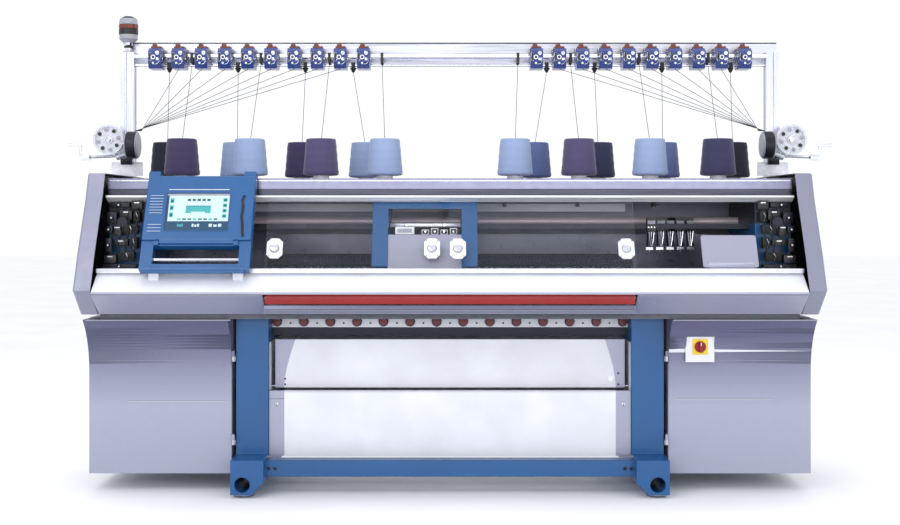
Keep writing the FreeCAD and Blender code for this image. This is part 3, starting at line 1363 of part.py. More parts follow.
def feeder_body():
    """Drum, arms, spindle and bracket of one side feeder, fixed to its post."""
    post_x = POST_INNER
    y1 = POST_FRONT_Y
    plate = block((post_x - 40, post_x + 95), (y1 - 8, y1), (1292, 1352))
    stem = block((post_x, post_x + 50), (y1 - 30, y1), (1340, 1384))
    drum = rod((post_x - 38, y1 - 62, 1424), (post_x + 18, y1 - 62, 1424), 60.0)
    drum = rounded(drum, 14.0, lambda e: e.Closed)
    spindle = rod((WHEEL_X, WHEEL_Y - 14, WHEEL_Z), (WHEEL_X, WHEEL_Y + 34, WHEEL_Z), 8.0)
    carrier = rod((post_x + 10, WHEEL_Y + 34, WHEEL_Z), (WHEEL_X + 15, WHEEL_Y + 34, WHEEL_Z), 10.0)
    brake = rod((post_x - 6, y1 - 23, 1400), (post_x + 70, y1 - 23, 1378), 20.0)
    low_arm = rod((post_x + 60, y1 - 23, 1378), (1600, WHEEL_Y - 30, 1368), 6.0)
    cup = rod((1560, WHEEL_Y - 32, 1369), (1598, WHEEL_Y - 30, 1368), 14.0)
    rise = rod((1600, WHEEL_Y - 30, 1366), (1606, WHEEL_Y - 30, 1424), 6.0)
    nozzle = rod((1592, WHEEL_Y - 30, NOZZLE_HEIGHT - 8), (NOZZLE_X - 8, WHEEL_Y - 30, NOZZLE_HEIGHT - 8),
                 6.5)
    tip = rod((NOZZLE_X - 12, WHEEL_Y - 30, NOZZLE_HEIGHT - 8), (NOZZLE_X, WHEEL_Y - 30, NOZZLE_HEIGHT - 8),
              8.0)
    return fuse([plate, stem, drum, carrier, spindle, brake, low_arm, cup, rise, nozzle, tip])


def feeder_wheel():
    """Spoked yarn wheel that turns on the feeder's spindle."""
    y0, y1 = WHEEL_Y - 12, WHEEL_Y + 12
    wheel = rod((WHEEL_X, y0, WHEEL_Z), (WHEEL_X, y1, WHEEL_Z), WHEEL_RADIUS)
    wheel = wheel.cut(rod((WHEEL_X, y0 - 1, WHEEL_Z), (WHEEL_X, y0 + 8, WHEEL_Z), WHEEL_RADIUS - 9))
    wheel = wheel.cut(rod((WHEEL_X, y1 - 8, WHEEL_Z), (WHEEL_X, y1 + 1, WHEEL_Z), WHEEL_RADIUS - 9))
    hub = rod((WHEEL_X, y0, WHEEL_Z), (WHEEL_X, y1, WHEEL_Z), 18.0)
    return fuse([wheel, hub]).cut(rod((WHEEL_X, y0 - 1, WHEEL_Z), (WHEEL_X, y1 + 1, WHEEL_Z), 8.0 + FIT))


add("yarn_feeders", *both(feeder_body()))
add("right_feeder_wheel", feeder_wheel())
add("left_feeder_wheel", mirrored(feeder_wheel()))


# ------------------------------------------------------------------ yarns held tight

def cone_yarns():
    """Threads from the top of each cone up to its eye."""
    z0 = SHELF_TOP + CONE_RISE + CONE_HEIGHT - 20
    threads = []
    for cone_x, eye_x in zip(FRONT_CONES, FRONT_EYES):
        threads += both(rod((cone_x, back(FRONT_CONE_BACK), z0),
                            (eye_x, FRONT_EYE_Y, RAIL_RODS[0][1] - 29), YARN))
    for cone_x, eye_x in zip(REAR_CONES, REAR_EYES):
        threads += both(rod((cone_x, back(REAR_CONE_BACK), z0), (eye_x, REAR_EYE_Y, EYE_BOTTOM), YARN))
    return threads


def fan_yarns():
    """Threads from the lower edge of the housings down to the side feeder."""
    threads = []
    for i in range(8):
        start = (UNIT_FIRST + (i + 1) * UNIT_PITCH, UNIT_FRONT_Y + 30, UNIT_Z[0] - 0.8)
        end = (POST_INNER - 20 - 3 * i, POST_FRONT_Y - 62 + 4 * i, 1486.0)
        threads += both(rod(start, end, YARN))
    return threads


add("supply_yarns", *(cone_yarns() + fan_yarns()))


# ------------------------------------------------------------------ rear cover and terminal
def rear_cover():
    """Folded sheet across the back, from the base to the shelf."""
    line = [(BASE_REAR_Y, BASE_BOTTOM + 22), (REAR, BASE_BOTTOM + 22), (REAR, SHELF_TOP - 2),
            (back(SHELF_SETBACK + SHELF_DEPTH), SHELF_TOP - 2)]
    return folded(line, SHEET, -COVER_HALF, COVER_HALF)


def terminal_bracket():
    """Blue stand with a window and a bright rail, on the ledge in front of the hoods."""
    left, right = TERMINAL_LEFT, TERMINAL_RIGHT
    high = TERMINAL_SEAM - 1
    frame = block((left, right), (STAND_FACE, STAND_BACK), (STAND_RISE, high))
    frame = frame.cut(block((left + 48, right - 45), (STAND_FACE - 1, STAND_BACK + 1), STAND_WINDOW))
    ears = [block((x, x + 18), (HINGE_AXIS_DEPTH - 6, STAND_FACE + 1), (HINGE_RISE - 12, HINGE_RISE + 6))
            for x in (left + 50, right - 68)]
    frame = on_slope(fuse([frame] + ears))
    foot_y, foot_z = slope_point(STAND_FACE, STAND_RISE)
    rear_y = TRACK_FRONT_Y - RUN_GAP
    sole = block((left + 20, right - 20), (foot_y + 2, rear_y), (LEDGE_BACK_Z + 2, foot_z + 12))
    feet = [block((x, x + 40), (rear_y - 18, rear_y), (LEDGE_BACK_Z - 40, LEDGE_BACK_Z + 3))
            for x in (left + 30, right - 70)]
    fall = (LEDGE_BACK_Z - LEDGE_FRONT_Z) / 10
    ahead = -LEDGE_BACK / 10
    slant = along_x([(back(ahead), LEDGE_FRONT_Z - fall), (back(LEDGE_BACK), LEDGE_BACK_Z),
                     (back(LEDGE_BACK), BASE_BOTTOM), (back(ahead), BASE_BOTTOM)], left, right)
    return fuse([frame, sole] + [foot.cut(slant) for foot in feet])


def terminal_rail():
    """Bright bar inside the stand's window."""
    bar = block((TERMINAL_LEFT + 48, TERMINAL_RIGHT - 45), (-6, 6), STAND_RAIL)
    return on_slope(bar)


def terminal_housing():
    """Tilting blue housing with an open frame around its screen, and two ears on top."""
    left, right = TERMINAL_LEFT, TERMINAL_RIGHT
    low, high = TERMINAL_SEAM + RUN_GAP, TERMINAL_SEAM + TERMINAL_LENGTH
    body = block((left, right), (TERMINAL_FACE, TERMINAL_BACK), (low, high - 20))
    body = rounded(body, 7.0, lambda e: e.BoundBox.YMax < TERMINAL_FACE + 0.01)
    ears = [block((left, left + 46), (TERMINAL_FACE + 4, TERMINAL_BACK), (high - 21, high)),
            block((right - 46, right), (TERMINAL_FACE + 4, TERMINAL_BACK), (high - 21, high))]
    body = fuse([body] + ears)
    sunk = TERMINAL_FACE + SCREEN_SINK + SCREEN_THICKNESS
    screen = block(SCREEN, (TERMINAL_FACE - 1, sunk), SCREEN_RISE)
    body = body.cut(screen)
    knuckle = rod((left + 70, HINGE_AXIS_DEPTH, HINGE_RISE), (right - 70, HINGE_AXIS_DEPTH, HINGE_RISE),
                  HINGE_BAR)
    neck = block((left + 70, right - 70), (HINGE_AXIS_DEPTH - 4, HINGE_AXIS_DEPTH + 4),
                 (HINGE_RISE, low + 5))
    return on_slope(fuse([body, knuckle, neck]))


def terminal_screen():
    """Display panel set into the housing."""
    face = TERMINAL_FACE + SCREEN_SINK
    panel = block((SCREEN[0] + 0.5, SCREEN[1] - 0.5), (face, face + SCREEN_THICKNESS),
                  (SCREEN_RISE[0] + 0.5, SCREEN_RISE[1] - 0.5))
    return on_slope(panel)


def terminal_pins():
    """Round pins of the stand that the housing's knuckle turns on."""
    pins = []
    for x0, x1 in ((TERMINAL_LEFT + 58, TERMINAL_LEFT + 74), (TERMINAL_RIGHT - 74, TERMINAL_RIGHT - 58)):
        pins.append(on_slope(rod((x0, HINGE_AXIS_DEPTH, HINGE_RISE), (x1, HINGE_AXIS_DEPTH, HINGE_RISE),
                                 HINGE_STUB)))
    return pins


def with_pin_holes(shape):
    """Bore the knuckle's ends for the pins."""
    for x0, x1 in ((TERMINAL_LEFT + 69, TERMINAL_LEFT + 75), (TERMINAL_RIGHT - 75, TERMINAL_RIGHT - 69)):
        hole = rod((x0, HINGE_AXIS_DEPTH, HINGE_RISE), (x1, HINGE_AXIS_DEPTH, HINGE_RISE),
                   HINGE_STUB + FIT)
        shape = shape.cut(on_slope(hole))
    return shape


add("rear_cover", rear_cover())
add("terminal_bracket", fuse([terminal_bracket()] + terminal_pins()), terminal_rail())
add("terminal_housing", with_pin_holes(terminal_housing()))
add("terminal_screen", terminal_screen())


# ------------------------------------------------------------------ export
os.makedirs("parts", exist_ok=True)
for name, solids in NODES.items():
    shape = solids[0] if len(solids) == 1 else Part.makeCompound(solids)
    shape.exportStep("parts/" + name + ".step")
    print(name, len(solids), "solids", "valid" if shape.isValid() else "INVALID")
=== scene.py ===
"""Looks of the flat knitting machine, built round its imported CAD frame.

Metres, in the CAD's own frame: +X runs along the needle beds, +Y goes back and +Z is up.
"""
import json
import math

import bmesh
import bpy
from mathutils import Matrix, Vector

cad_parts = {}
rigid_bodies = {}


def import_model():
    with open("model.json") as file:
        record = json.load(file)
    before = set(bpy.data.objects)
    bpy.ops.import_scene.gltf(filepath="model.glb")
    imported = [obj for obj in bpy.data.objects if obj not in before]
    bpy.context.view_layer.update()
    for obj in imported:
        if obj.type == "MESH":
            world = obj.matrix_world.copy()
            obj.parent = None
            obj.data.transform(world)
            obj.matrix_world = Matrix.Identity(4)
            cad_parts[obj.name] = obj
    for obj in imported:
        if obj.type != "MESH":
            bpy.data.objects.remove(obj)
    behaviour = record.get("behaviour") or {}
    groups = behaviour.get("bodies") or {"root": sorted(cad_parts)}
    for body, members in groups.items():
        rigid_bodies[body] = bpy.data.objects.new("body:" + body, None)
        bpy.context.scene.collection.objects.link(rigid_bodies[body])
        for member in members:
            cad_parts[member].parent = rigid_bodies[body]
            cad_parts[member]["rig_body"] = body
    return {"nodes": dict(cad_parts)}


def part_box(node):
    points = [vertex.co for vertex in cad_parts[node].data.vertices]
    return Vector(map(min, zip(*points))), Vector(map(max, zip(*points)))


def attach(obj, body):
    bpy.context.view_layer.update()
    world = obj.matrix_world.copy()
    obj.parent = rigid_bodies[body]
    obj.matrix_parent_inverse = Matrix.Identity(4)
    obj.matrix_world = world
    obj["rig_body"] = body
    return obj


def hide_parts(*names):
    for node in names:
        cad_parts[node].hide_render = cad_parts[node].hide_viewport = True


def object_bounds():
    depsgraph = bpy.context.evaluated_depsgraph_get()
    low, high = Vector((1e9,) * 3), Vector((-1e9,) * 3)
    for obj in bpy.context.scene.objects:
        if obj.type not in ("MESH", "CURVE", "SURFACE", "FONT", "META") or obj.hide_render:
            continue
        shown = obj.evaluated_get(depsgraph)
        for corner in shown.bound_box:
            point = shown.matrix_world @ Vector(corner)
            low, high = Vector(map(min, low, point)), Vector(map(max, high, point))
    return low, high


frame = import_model()
CAD_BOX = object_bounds()
NODES = frame["nodes"]
LOW, HIGH = CAD_BOX

# plane of the sloping front: x to the right, y up the slope, z out of it
SLOPE_ANGLE = math.radians(26.4)
SLOPE_FOOT = Vector((0.0, LOW.y + 0.021, 0.868))
SLOPE = Matrix.Translation(SLOPE_FOOT) @ Matrix(
    ((1, 0, 0, 0),
     (0, math.sin(SLOPE_ANGLE), -math.cos(SLOPE_ANGLE), 0),
     (0, math.cos(SLOPE_ANGLE), math.sin(SLOPE_ANGLE), 0),
     (0, 0, 0, 1)))

HOOD_FACE = {"left_hood": -0.066, "right_hood": -0.038}  # face of a pane, out of the slope
HANDLE_PLATE = 0.006
HANDLE_IN = 0.0365              # middle of a handle from the end of its pane
HANDLE_REACH = 0.0685           # inner edge of a handle from the end of its pane
HANDLE_Z = (0.9449, 1.0262)
HANDLE_MIDDLE_Z = 0.984
TRACK_SPLIT_Z = 1.198           # painted shade above, painted highlight below, on the upper hood track
BRACKET_SPLIT_Z = 1.085         # dark above, blue below, on the rail brackets
COVER_SPLIT_Z = 0.985           # lilac above, grey below, on the carriage cover
CARRIER_SPLITS_Z = (1.052, 0.985)
FLAP_HALF = 0.716
SHADE_STRIP_WIDTH = 0.063             # painted shade strip at each end of the bin panel
POCKET_X = (0.951, 1.065)       # pocket of the right door: its own light grey, painted whiter as a painted highlight
POCKET_Z = (0.527, 0.632)
PLATE_X = (0.975, 1.041)        # yellow plate in the pocket
PLATE_Z = (0.555, 0.621)
PLATE_FACE_Y = -0.2455
DOOR_SKIN_Y = -0.225
LINE_LENGTH = 0.395             # bright line across each door
HOUSING_FACE = 0.030            # face of the terminal's housing, out of the slope


# ------------------------------------------------------------------ materials
def display(red, green, blue, factor=1.0):
    """Linear colour of an 8-bit display colour, made lighter or darker by a factor."""
    parts = []
    for value in (red, green, blue):
        value /= 255
        value = value / 12.92 if value <= 0.04045 else ((value + 0.055) / 1.055) ** 2.4
        parts.append(min(1.0, value * factor))
    return (*parts, 1.0)


class Finish:
    """A node material: a Principled surface and the texture nodes that feed it."""

    def __init__(self, name, **sockets):
        self.material = bpy.data.materials.new(name)
        self.material.use_nodes = True
        self.tree = self.material.node_tree
        self.surface = self.tree.nodes["Principled BSDF"]
        self.place = self.node("ShaderNodeTexCoord").outputs["Object"]
        self.normal = None
        for socket, value in sockets.items():
            self.surface.inputs[socket.replace("_", " ")].default_value = value

    def node(self, kind, **settings):
        made = self.tree.nodes.new(kind)
        for key, value in settings.items():
            setattr(made, key, value)
        return made

    def link(self, source, target):
        self.tree.links.new(source, target)

    def scaled(self, x, y, z):
        mapping = self.node("ShaderNodeMapping")
        mapping.inputs["Scale"].default_value = (x, y, z)
        self.link(self.place, mapping.inputs["Vector"])
        return mapping.outputs["Vector"]

    def noise(self, scale, stretch=(1, 1, 1), detail=3.0):
        noise = self.node("ShaderNodeTexNoise")
        noise.inputs["Scale"].default_value = scale
        noise.inputs["Detail"].default_value = detail
        self.link(self.scaled(*stretch), noise.inputs["Vector"])
        return noise.outputs["Fac"]

    def stripes(self, pitch, direction="X", distortion=0.0):
        """Bands that repeat every pitch metres."""
        wave = self.node("ShaderNodeTexWave", bands_direction=direction)
        wave.inputs["Scale"].default_value = math.pi / (10 * pitch)
        wave.inputs["Distortion"].default_value = distortion
        self.link(self.place, wave.inputs["Vector"])
        return wave.outputs["Fac"]

    def ramp(self, factor, *stops):
        ramp = self.node("ShaderNodeValToRGB")
        elements = ramp.color_ramp.elements
        elements[0].position, elements[0].color = stops[0]
        elements[1].position, elements[1].color = stops[-1]
        for position, colour in stops[1:-1]:
            elements.new(position).color = colour
        self.link(factor, ramp.inputs["Fac"])
        return ramp.outputs["Color"]

    def ranged(self, factor, low, high):
        limits = self.node("ShaderNodeMapRange")
        limits.inputs["From Min"].default_value = 0.3
        limits.inputs["From Max"].default_value = 0.7
        limits.inputs["To Min"].default_value = low
        limits.inputs["To Max"].default_value = high
        self.link(factor, limits.inputs["Value"])
        return limits.outputs["Result"]

    def colour(self, output):
        self.link(output, self.surface.inputs["Base Color"])

    def rough(self, factor, low, high):
        self.link(self.ranged(factor, low, high), self.surface.inputs["Roughness"])

    def bump(self, height, strength, depth):
        bump = self.node("ShaderNodeBump")
        bump.inputs["Strength"].default_value = strength
        bump.inputs["Distance"].default_value = depth
        self.link(height, bump.inputs["Height"])
        if self.normal is not None:
            self.link(self.normal, bump.inputs["Normal"])
        self.normal = bump.outputs["Normal"]
        self.link(self.normal, self.surface.inputs["Normal"])


def paint(name, rgb, roughness=0.35, peel=0.12, **sockets):
    """Lacquer on sheet metal: a little cloudy, with fine orange peel."""
    f = Finish(name, **sockets)
    f.colour(f.ramp(f.noise(5.0), (0.3, display(*rgb, 0.92)), (0.7, display(*rgb, 1.06))))
    f.rough(f.noise(35.0), roughness * 0.8, roughness * 1.25)
    f.bump(f.noise(650.0, detail=1.0), peel, 0.0004)
    return f.material


def flaked(name, rgb, roughness=0.34, **sockets):
    """Metallic lacquer: fine bright flakes in a lilac-grey base."""
    f = Finish(name, Metallic=0.45, Coat_Weight=0.25, Coat_Roughness=0.18, **sockets)
    flakes = f.noise(1500.0, detail=1.0)
    f.colour(f.ramp(flakes, (0.35, display(*rgb, 0.86)), (0.62, display(*rgb, 1.0)),
                    (0.75, display(*rgb, 1.3))))
    f.rough(f.noise(30.0), roughness * 0.85, roughness * 1.2)
    f.bump(flakes, 0.05, 0.0003)
    return f.material


def painted_shade_gradient(name, upper, lower, low_z, high_z):
    """Metallic lacquer with painted shade: darker towards the top of the panel."""
    f = Finish(name, Metallic=0.25)
    split = f.node("ShaderNodeSeparateXYZ")
    f.link(f.place, split.inputs["Vector"])
    height = f.node("ShaderNodeMapRange")
    height.inputs["From Min"].default_value = low_z
    height.inputs["From Max"].default_value = high_z
    f.link(split.outputs["Z"], height.inputs["Value"])
    base = f.ramp(height.outputs["Result"], (0.0, display(*lower)), (0.45, display(*lower, 1.05)),
                  (1.0, display(*upper)))
    flakes = f.noise(1500.0, detail=1.0)
    sparkle = f.ramp(flakes, (0.35, (0.86, 0.86, 0.86, 1)), (0.75, (1.0, 1.0, 1.0, 1)))
    mixed = f.node("ShaderNodeMix", data_type="RGBA", blend_type="MULTIPLY")
    mixed.inputs["Factor"].default_value = 1.0
    f.link(base, mixed.inputs["A"])
    f.link(sparkle, mixed.inputs["B"])
    f.colour(mixed.outputs["Result"])
    f.rough(f.noise(30.0), 0.46, 0.56)
    f.bump(flakes, 0.05, 0.0003)
    return f.material


def brushed(name, rgb, roughness, stretch, metallic=1.0, contrast=0.12, **sockets):
    """Metal with its grain drawn along one axis."""
    f = Finish(name, Metallic=metallic, **sockets)
    grain = f.noise(130.0, stretch, detail=4.0)
    f.colour(f.ramp(grain, (0.3, display(*rgb, 1 - contrast)), (0.7, display(*rgb, 1 + contrast))))
    f.rough(grain, roughness * 0.75, roughness * 1.35)
    f.bump(grain, 0.12, 0.0003)
    return f.material


def moulded(name, rgb, roughness=0.4, grain=0.25, **sockets):
    """Moulded plastic or rubber with a fine spark-eroded grain."""
    f = Finish(name, **sockets)
    f.colour(f.ramp(f.noise(45.0), (0.3, display(*rgb, 0.88)), (0.7, display(*rgb, 1.1))))
    f.rough(f.noise(90.0), roughness * 0.85, roughness * 1.2)
    f.bump(f.noise(1400.0, detail=2.0), grain, 0.0003)
    return f.material


def wound_yarn(name, rgb):
    """Cross-wound cone of yarn: steep bands of thread over soft cloudy colour."""
    f = Finish(name, Sheen_Weight=0.35, Sheen_Roughness=0.4, Specular_IOR_Level=0.2)
    threads = f.stripes(0.0022, "Z", 2.2)
    crossed = f.stripes(0.0041, "DIAGONAL", 1.2)
    f.colour(f.ramp(threads, (0.0, display(*rgb, 0.74)), (0.6, display(*rgb, 1.0)),
                    (1.0, display(*rgb, 1.16))))
    f.rough(f.noise(160.0), 0.75, 0.95)
    f.bump(threads, 0.5, 0.0009)
    f.bump(crossed, 0.25, 0.0007)
    return f.material


def needle_steel(name):
    """Hardened bed with a trick, and so a dark line, every three millimetres."""
    f = Finish(name, Metallic=1.0)
    tricks = f.stripes(0.003)
    f.colour(f.ramp(tricks, (0.25, display(44, 46, 52)), (0.6, display(150, 152, 160))))
    f.rough(f.noise(120.0, (1, 8, 8)), 0.28, 0.5)
    f.bump(tricks, 0.8, 0.001)
    return f.material


def clear_acrylic(name):
    """Thin pane: nearly clear, with faint wiped streaks and a fresnel shine."""
    f = Finish(name, Roughness=0.05, IOR=1.49)
    f.colour(f.ramp(f.noise(12.0), (0.3, display(150, 158, 172)), (0.7, display(176, 184, 198))))
    f.rough(f.noise(9.0, (1, 4, 1)), 0.02, 0.06)
    edge = f.node("ShaderNodeLayerWeight")
    edge.inputs["Blend"].default_value = 0.25
    limits = f.node("ShaderNodeMapRange")
    limits.inputs["To Min"].default_value = 0.02
    limits.inputs["To Max"].default_value = 0.4
    f.link(edge.outputs["Fresnel"], limits.inputs["Value"])
    f.link(limits.outputs["Result"], f.surface.inputs["Alpha"])
    return f.material


def lit(name, rgb, strength, grain=0.1):
    """Backlit patch of the display."""
    f = Finish(name, Roughness=0.2, Emission_Strength=strength)
    f.surface.inputs["Emission Color"].default_value = display(*rgb)
    f.colour(f.ramp(f.noise(220.0), (0.3, display(*rgb, 1 - grain)), (0.7, display(*rgb, 1 + grain))))
    f.bump(f.stripes(0.0012, "Z"), 0.05, 0.0002)
    return f.material


BLUE = paint("blue_paint", (8, 78, 134), 0.36, Coat_Weight=0.2, Coat_Roughness=0.2)
# Darker blue used only as painted shade on the terminal: louvre slots, lines and the rim round the screen.
BLUE_PAINTED_SHADE = paint("blue_painted_shade", (18, 72, 122), 0.45)
LILAC = flaked("lilac_lacquer", (160, 162, 182), 0.36)
CAP_LILAC = flaked("cap_lacquer", (138, 140, 160), 0.42)
# Lilac lacquer painted darker: painted shade for faces that look down, used on the apron and the shelf.
FASCIA_PAINTED_SHADE = flaked("fascia_lacquer_painted_shade", (112, 114, 138), 0.2)
# Door lacquer painted darker towards the top as painted shade.
DOOR = painted_shade_gradient("door_lacquer_painted_shade", (98, 98, 128), (160, 164, 184), 0.10, 0.64)
GREY = paint("grey_lacquer", (150, 152, 168), 0.4)
WHITE = paint("white_lacquer", (218, 220, 228), 0.42)
PANEL_GREY = flaked("inner_panel_lacquer", (84, 86, 104), 0.3)
RED = paint("red_lacquer", (138, 8, 14), 0.42)
CAST = moulded("cast_iron", (92, 94, 102), 0.55, 0.6, Metallic=0.6)
NEEDLES = needle_steel("needle_bed_steel")
STEEL_X = brushed("steel_along_x", (206, 208, 216), 0.2, (0.04, 1, 1))
STEEL = brushed("turned_steel", (186, 188, 196), 0.26, (1, 1, 1))
CHROME = brushed("chrome", (226, 228, 236), 0.1, (0.1, 1, 1), contrast=0.04)
ROSE_RAIL = brushed("oiled_rail", (230, 214, 222), 0.42, (0.03, 1, 1), metallic=0.3)
# Near-white tube colour is a painted highlight, standing in for the bright reflection on the rail tubes.
TUBE_PAINTED_HIGHLIGHT = brushed("tube_painted_highlight", (236, 238, 244), 0.3, (0.03, 1, 1), metallic=0.35)
# Dark track colour is painted shade on the upper part of the hood track.
TRACK_PAINTED_SHADE = brushed("shaded_track", (58, 60, 72), 0.24, (0.03, 1, 1), metallic=0.7)
ALU_X = brushed("aluminium_along_x", (206, 208, 218), 0.32, (0.03, 1, 1))
ALU_Z = brushed("aluminium_along_z", (206, 208, 218), 0.3, (1, 1, 0.03))
DARK = brushed("blackened_steel", (46, 47, 54), 0.38, (1, 1, 1), metallic=0.8)
BLACK = moulded("black_plastic", (20, 20, 23), 0.4)
RUBBER = moulded("black_rubber", (16, 16, 17), 0.75, 0.6)
PORCELAIN = moulded("white_ceramic", (240, 240, 240), 0.15, 0.05, Coat_Weight=0.5)
WHITE_PLASTIC = moulded("white_plastic", (226, 228, 234), 0.35, 0.15)
MILKY = moulded("translucent_plastic", (226, 230, 238), 0.3, 0.1, Transmission_Weight=0.35)
GREY_PLASTIC = moulded("grey_plastic", (150, 152, 164), 0.4)
BLUE_PLASTIC = moulded("blue_plastic", (22, 52, 122), 0.28, 0.15, Coat_Weight=0.3)
MAROON = moulded("maroon_plastic", (92, 20, 36), 0.28, 0.12, Coat_Weight=0.3)
ORANGE = moulded("amber_plastic", (150, 66, 34), 0.3, 0.15)
BROWN = moulded("brown_plastic", (104, 44, 34), 0.35, 0.15)
YELLOW = moulded("yellow_plate", (226, 196, 60), 0.35, 0.1)
PANE = clear_acrylic("clear_acrylic")
# Opaque light edge colour is a painted highlight, for the bright lines at the ends of the panes.
PANE_EDGE_PAINTED_HIGHLIGHT = moulded("acrylic_edge_painted_highlight", (196, 204, 218), 0.12, 0.05, Coat_Weight=0.6)
SCREEN_WHITE = lit("screen_white", (176, 198, 198), 0.2)
SCREEN_TEAL = lit("screen_teal", (60, 146, 150), 0.3)
SCREEN_DEEP = lit("screen_deep_teal", (14, 74, 84), 0.15)
SCREEN_DARK = lit("screen_dark", (20, 62, 92), 0.12)
THREAD = moulded("supply_thread", (34, 34, 46), 0.8, 0.6)
CONE_YARNS = {
    "plum": wound_yarn("yarn_plum", (66, 58, 90)),
    "slate": wound_yarn("yarn_slate", (58, 58, 88)),
    "ink": wound_yarn("yarn_ink", (38, 40, 56)),
    "mauve": wound_yarn("yarn_mauve", (82, 74, 108)),
    "sky": wound_yarn("yarn_sky", (146, 164, 200)),
    # Sky yarn painted darker, as painted shade on the right-hand rear cones.
    "blue": wound_yarn("yarn_sky_painted_shade", (98, 112, 158)),
}


# ------------------------------------------------------------------ mesh tools
IDENTITY = Matrix.Identity(4)
SHARP = math.radians(35)


class Shape:
    """A piece in the making: solids go into one mesh, each with its own material."""

    def __init__(self):
        self.bm = bmesh.new()
        self.materials = []

    def index(self, material):
        if material not in self.materials:
            self.materials.append(material)
        return self.materials.index(material)

    def finish(self, faces, material):
        index = self.index(material)
        for face in faces:
            face.material_index = index
            face.smooth = True

    def box(self, material, x, y, z, bevel=0.0, place=IDENTITY):
        """Block between pairs of limits, with rounded edges."""
        centre = Vector(((x[0] + x[1]) / 2, (y[0] + y[1]) / 2, (z[0] + z[1]) / 2))
        size = Matrix.Diagonal((x[1] - x[0], y[1] - y[0], z[1] - z[0], 1))
        verts = bmesh.ops.create_cube(self.bm, size=1.0)["verts"]
        bmesh.ops.transform(self.bm, matrix=place @ Matrix.Translation(centre) @ size, verts=verts)
        self.finish({f for v in verts for f in v.link_faces}, material)
        if bevel:
            bmesh.ops.bevel(self.bm, geom=list({e for v in verts for e in v.link_edges}), offset=bevel,
                            segments=2, profile=0.5, affect="EDGES", clamp_overlap=True)

    def lathe(self, material, profile, centre, axis=(0, 0, 1), steps=28):
        """Turned solid: (radius, distance along the axis) points, in order."""
        turn = Matrix.Translation(Vector(centre)) @ Vector(axis).to_track_quat("Z", "Y").to_matrix().to_4x4()
        rings = []
        for radius, height in profile:
            count = steps if radius > 0 else 1
            rings.append([self.bm.verts.new(turn @ Vector((radius * math.cos(2 * math.pi * i / steps),
                                                           radius * math.sin(2 * math.pi * i / steps),
                                                           height))) for i in range(count)])
        faces = []
        for a, b in zip(rings, rings[1:]):
            for i in range(steps):
                corners = [a[i % len(a)], a[(i + 1) % len(a)], b[(i + 1) % len(b)], b[i % len(b)]]
                corners = list(dict.fromkeys(corners))
                if len(corners) > 2:
                    faces.append(self.bm.faces.new(corners))
        self.finish(faces, material)

    def rod(self, material, start, end, radius, steps=16):
        """Round bar with slightly broken ends."""
        start, end = Vector(start), Vector(end)
        length = (end - start).length
        ease = min(radius * 0.25, length * 0.2)
        self.lathe(material, [(0, 0), (radius - ease, 0), (radius, ease), (radius, length - ease),
                              (radius - ease, length), (0, length)], start, end - start, steps)

    def path(self, material, points, radius, steps=10):
        """Round bar that bends through the points."""
        points = [Vector(p) for p in points]
        rings = []
        for i, point in enumerate(points):
            before, after = points[max(i - 1, 0)], points[min(i + 1, len(points) - 1)]
            turn = (after - before).to_track_quat("Z", "Y").to_matrix()
            rings.append([self.bm.verts.new(point + turn @ Vector((radius * math.cos(2 * math.pi * k / steps),
                                                                   radius * math.sin(2 * math.pi * k / steps),
                                                                   0))) for k in range(steps)])
        faces = [self.bm.faces.new((a[k], a[(k + 1) % steps], b[(k + 1) % steps], b[k]))
                 for a, b in zip(rings, rings[1:]) for k in range(steps)]
        faces += [self.bm.faces.new(rings[0]), self.bm.faces.new(rings[-1])]
        self.finish(faces, material)

    def made(self, name, body, slot=None, stands_for=()):
        """The finished piece, riding on its body."""
        bmesh.ops.recalc_face_normals(self.bm, faces=self.bm.faces)
        mesh = bpy.data.meshes.new(name)
        self.bm.to_mesh(mesh)
        self.bm.free()
        for material in self.materials:
            mesh.materials.append(material)
        mesh.set_sharp_from_angle(angle=SHARP)
        piece = bpy.data.objects.new(name, mesh)
        bpy.context.scene.collection.objects.link(piece)
        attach(piece, body)
        if stands_for:
            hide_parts(*stands_for)
        return piece


def dressed(node, material_of, bevel=0.0, slot=None, cuts=(), recesses=(), name=None):
    """Visible copy of a CAD node: edges softened, and a material chosen for each face."""
    shape = Shape()
    bm = shape.bm
    bm.from_mesh(NODES[node].data)
    bmesh.ops.remove_doubles(bm, verts=bm.verts, dist=1e-6)
    bmesh.ops.dissolve_limit(bm, angle_limit=math.radians(0.4), verts=bm.verts, edges=bm.edges)
    for point, normal in cuts:
        bmesh.ops.bisect_plane(bm, geom=bm.verts[:] + bm.edges[:] + bm.faces[:], plane_co=point,
                               plane_no=normal)
    for face in bm.faces:
        wanted = material_of
        if callable(material_of):
            wanted = material_of(face.calc_center_median(), face.normal)
        shape.finish([face], wanted)
    for (x, z, y, depth, material) in recesses:
        sink(shape, x, z, y, depth, material)
    if bevel:
        edges = [e for e in bm.edges if len(e.link_faces) == 2 and e.calc_face_angle(0) > SHARP]
        bmesh.ops.bevel(bm, geom=edges, offset=bevel, segments=2, profile=0.5, affect="EDGES",
                        clamp_overlap=True)
    piece = shape.made(name or "dressed_" + node, NODES[node]["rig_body"], slot, (node,))
    piece.modifiers.new("even_normals", "WEIGHTED_NORMAL").keep_sharp = True
    return piece


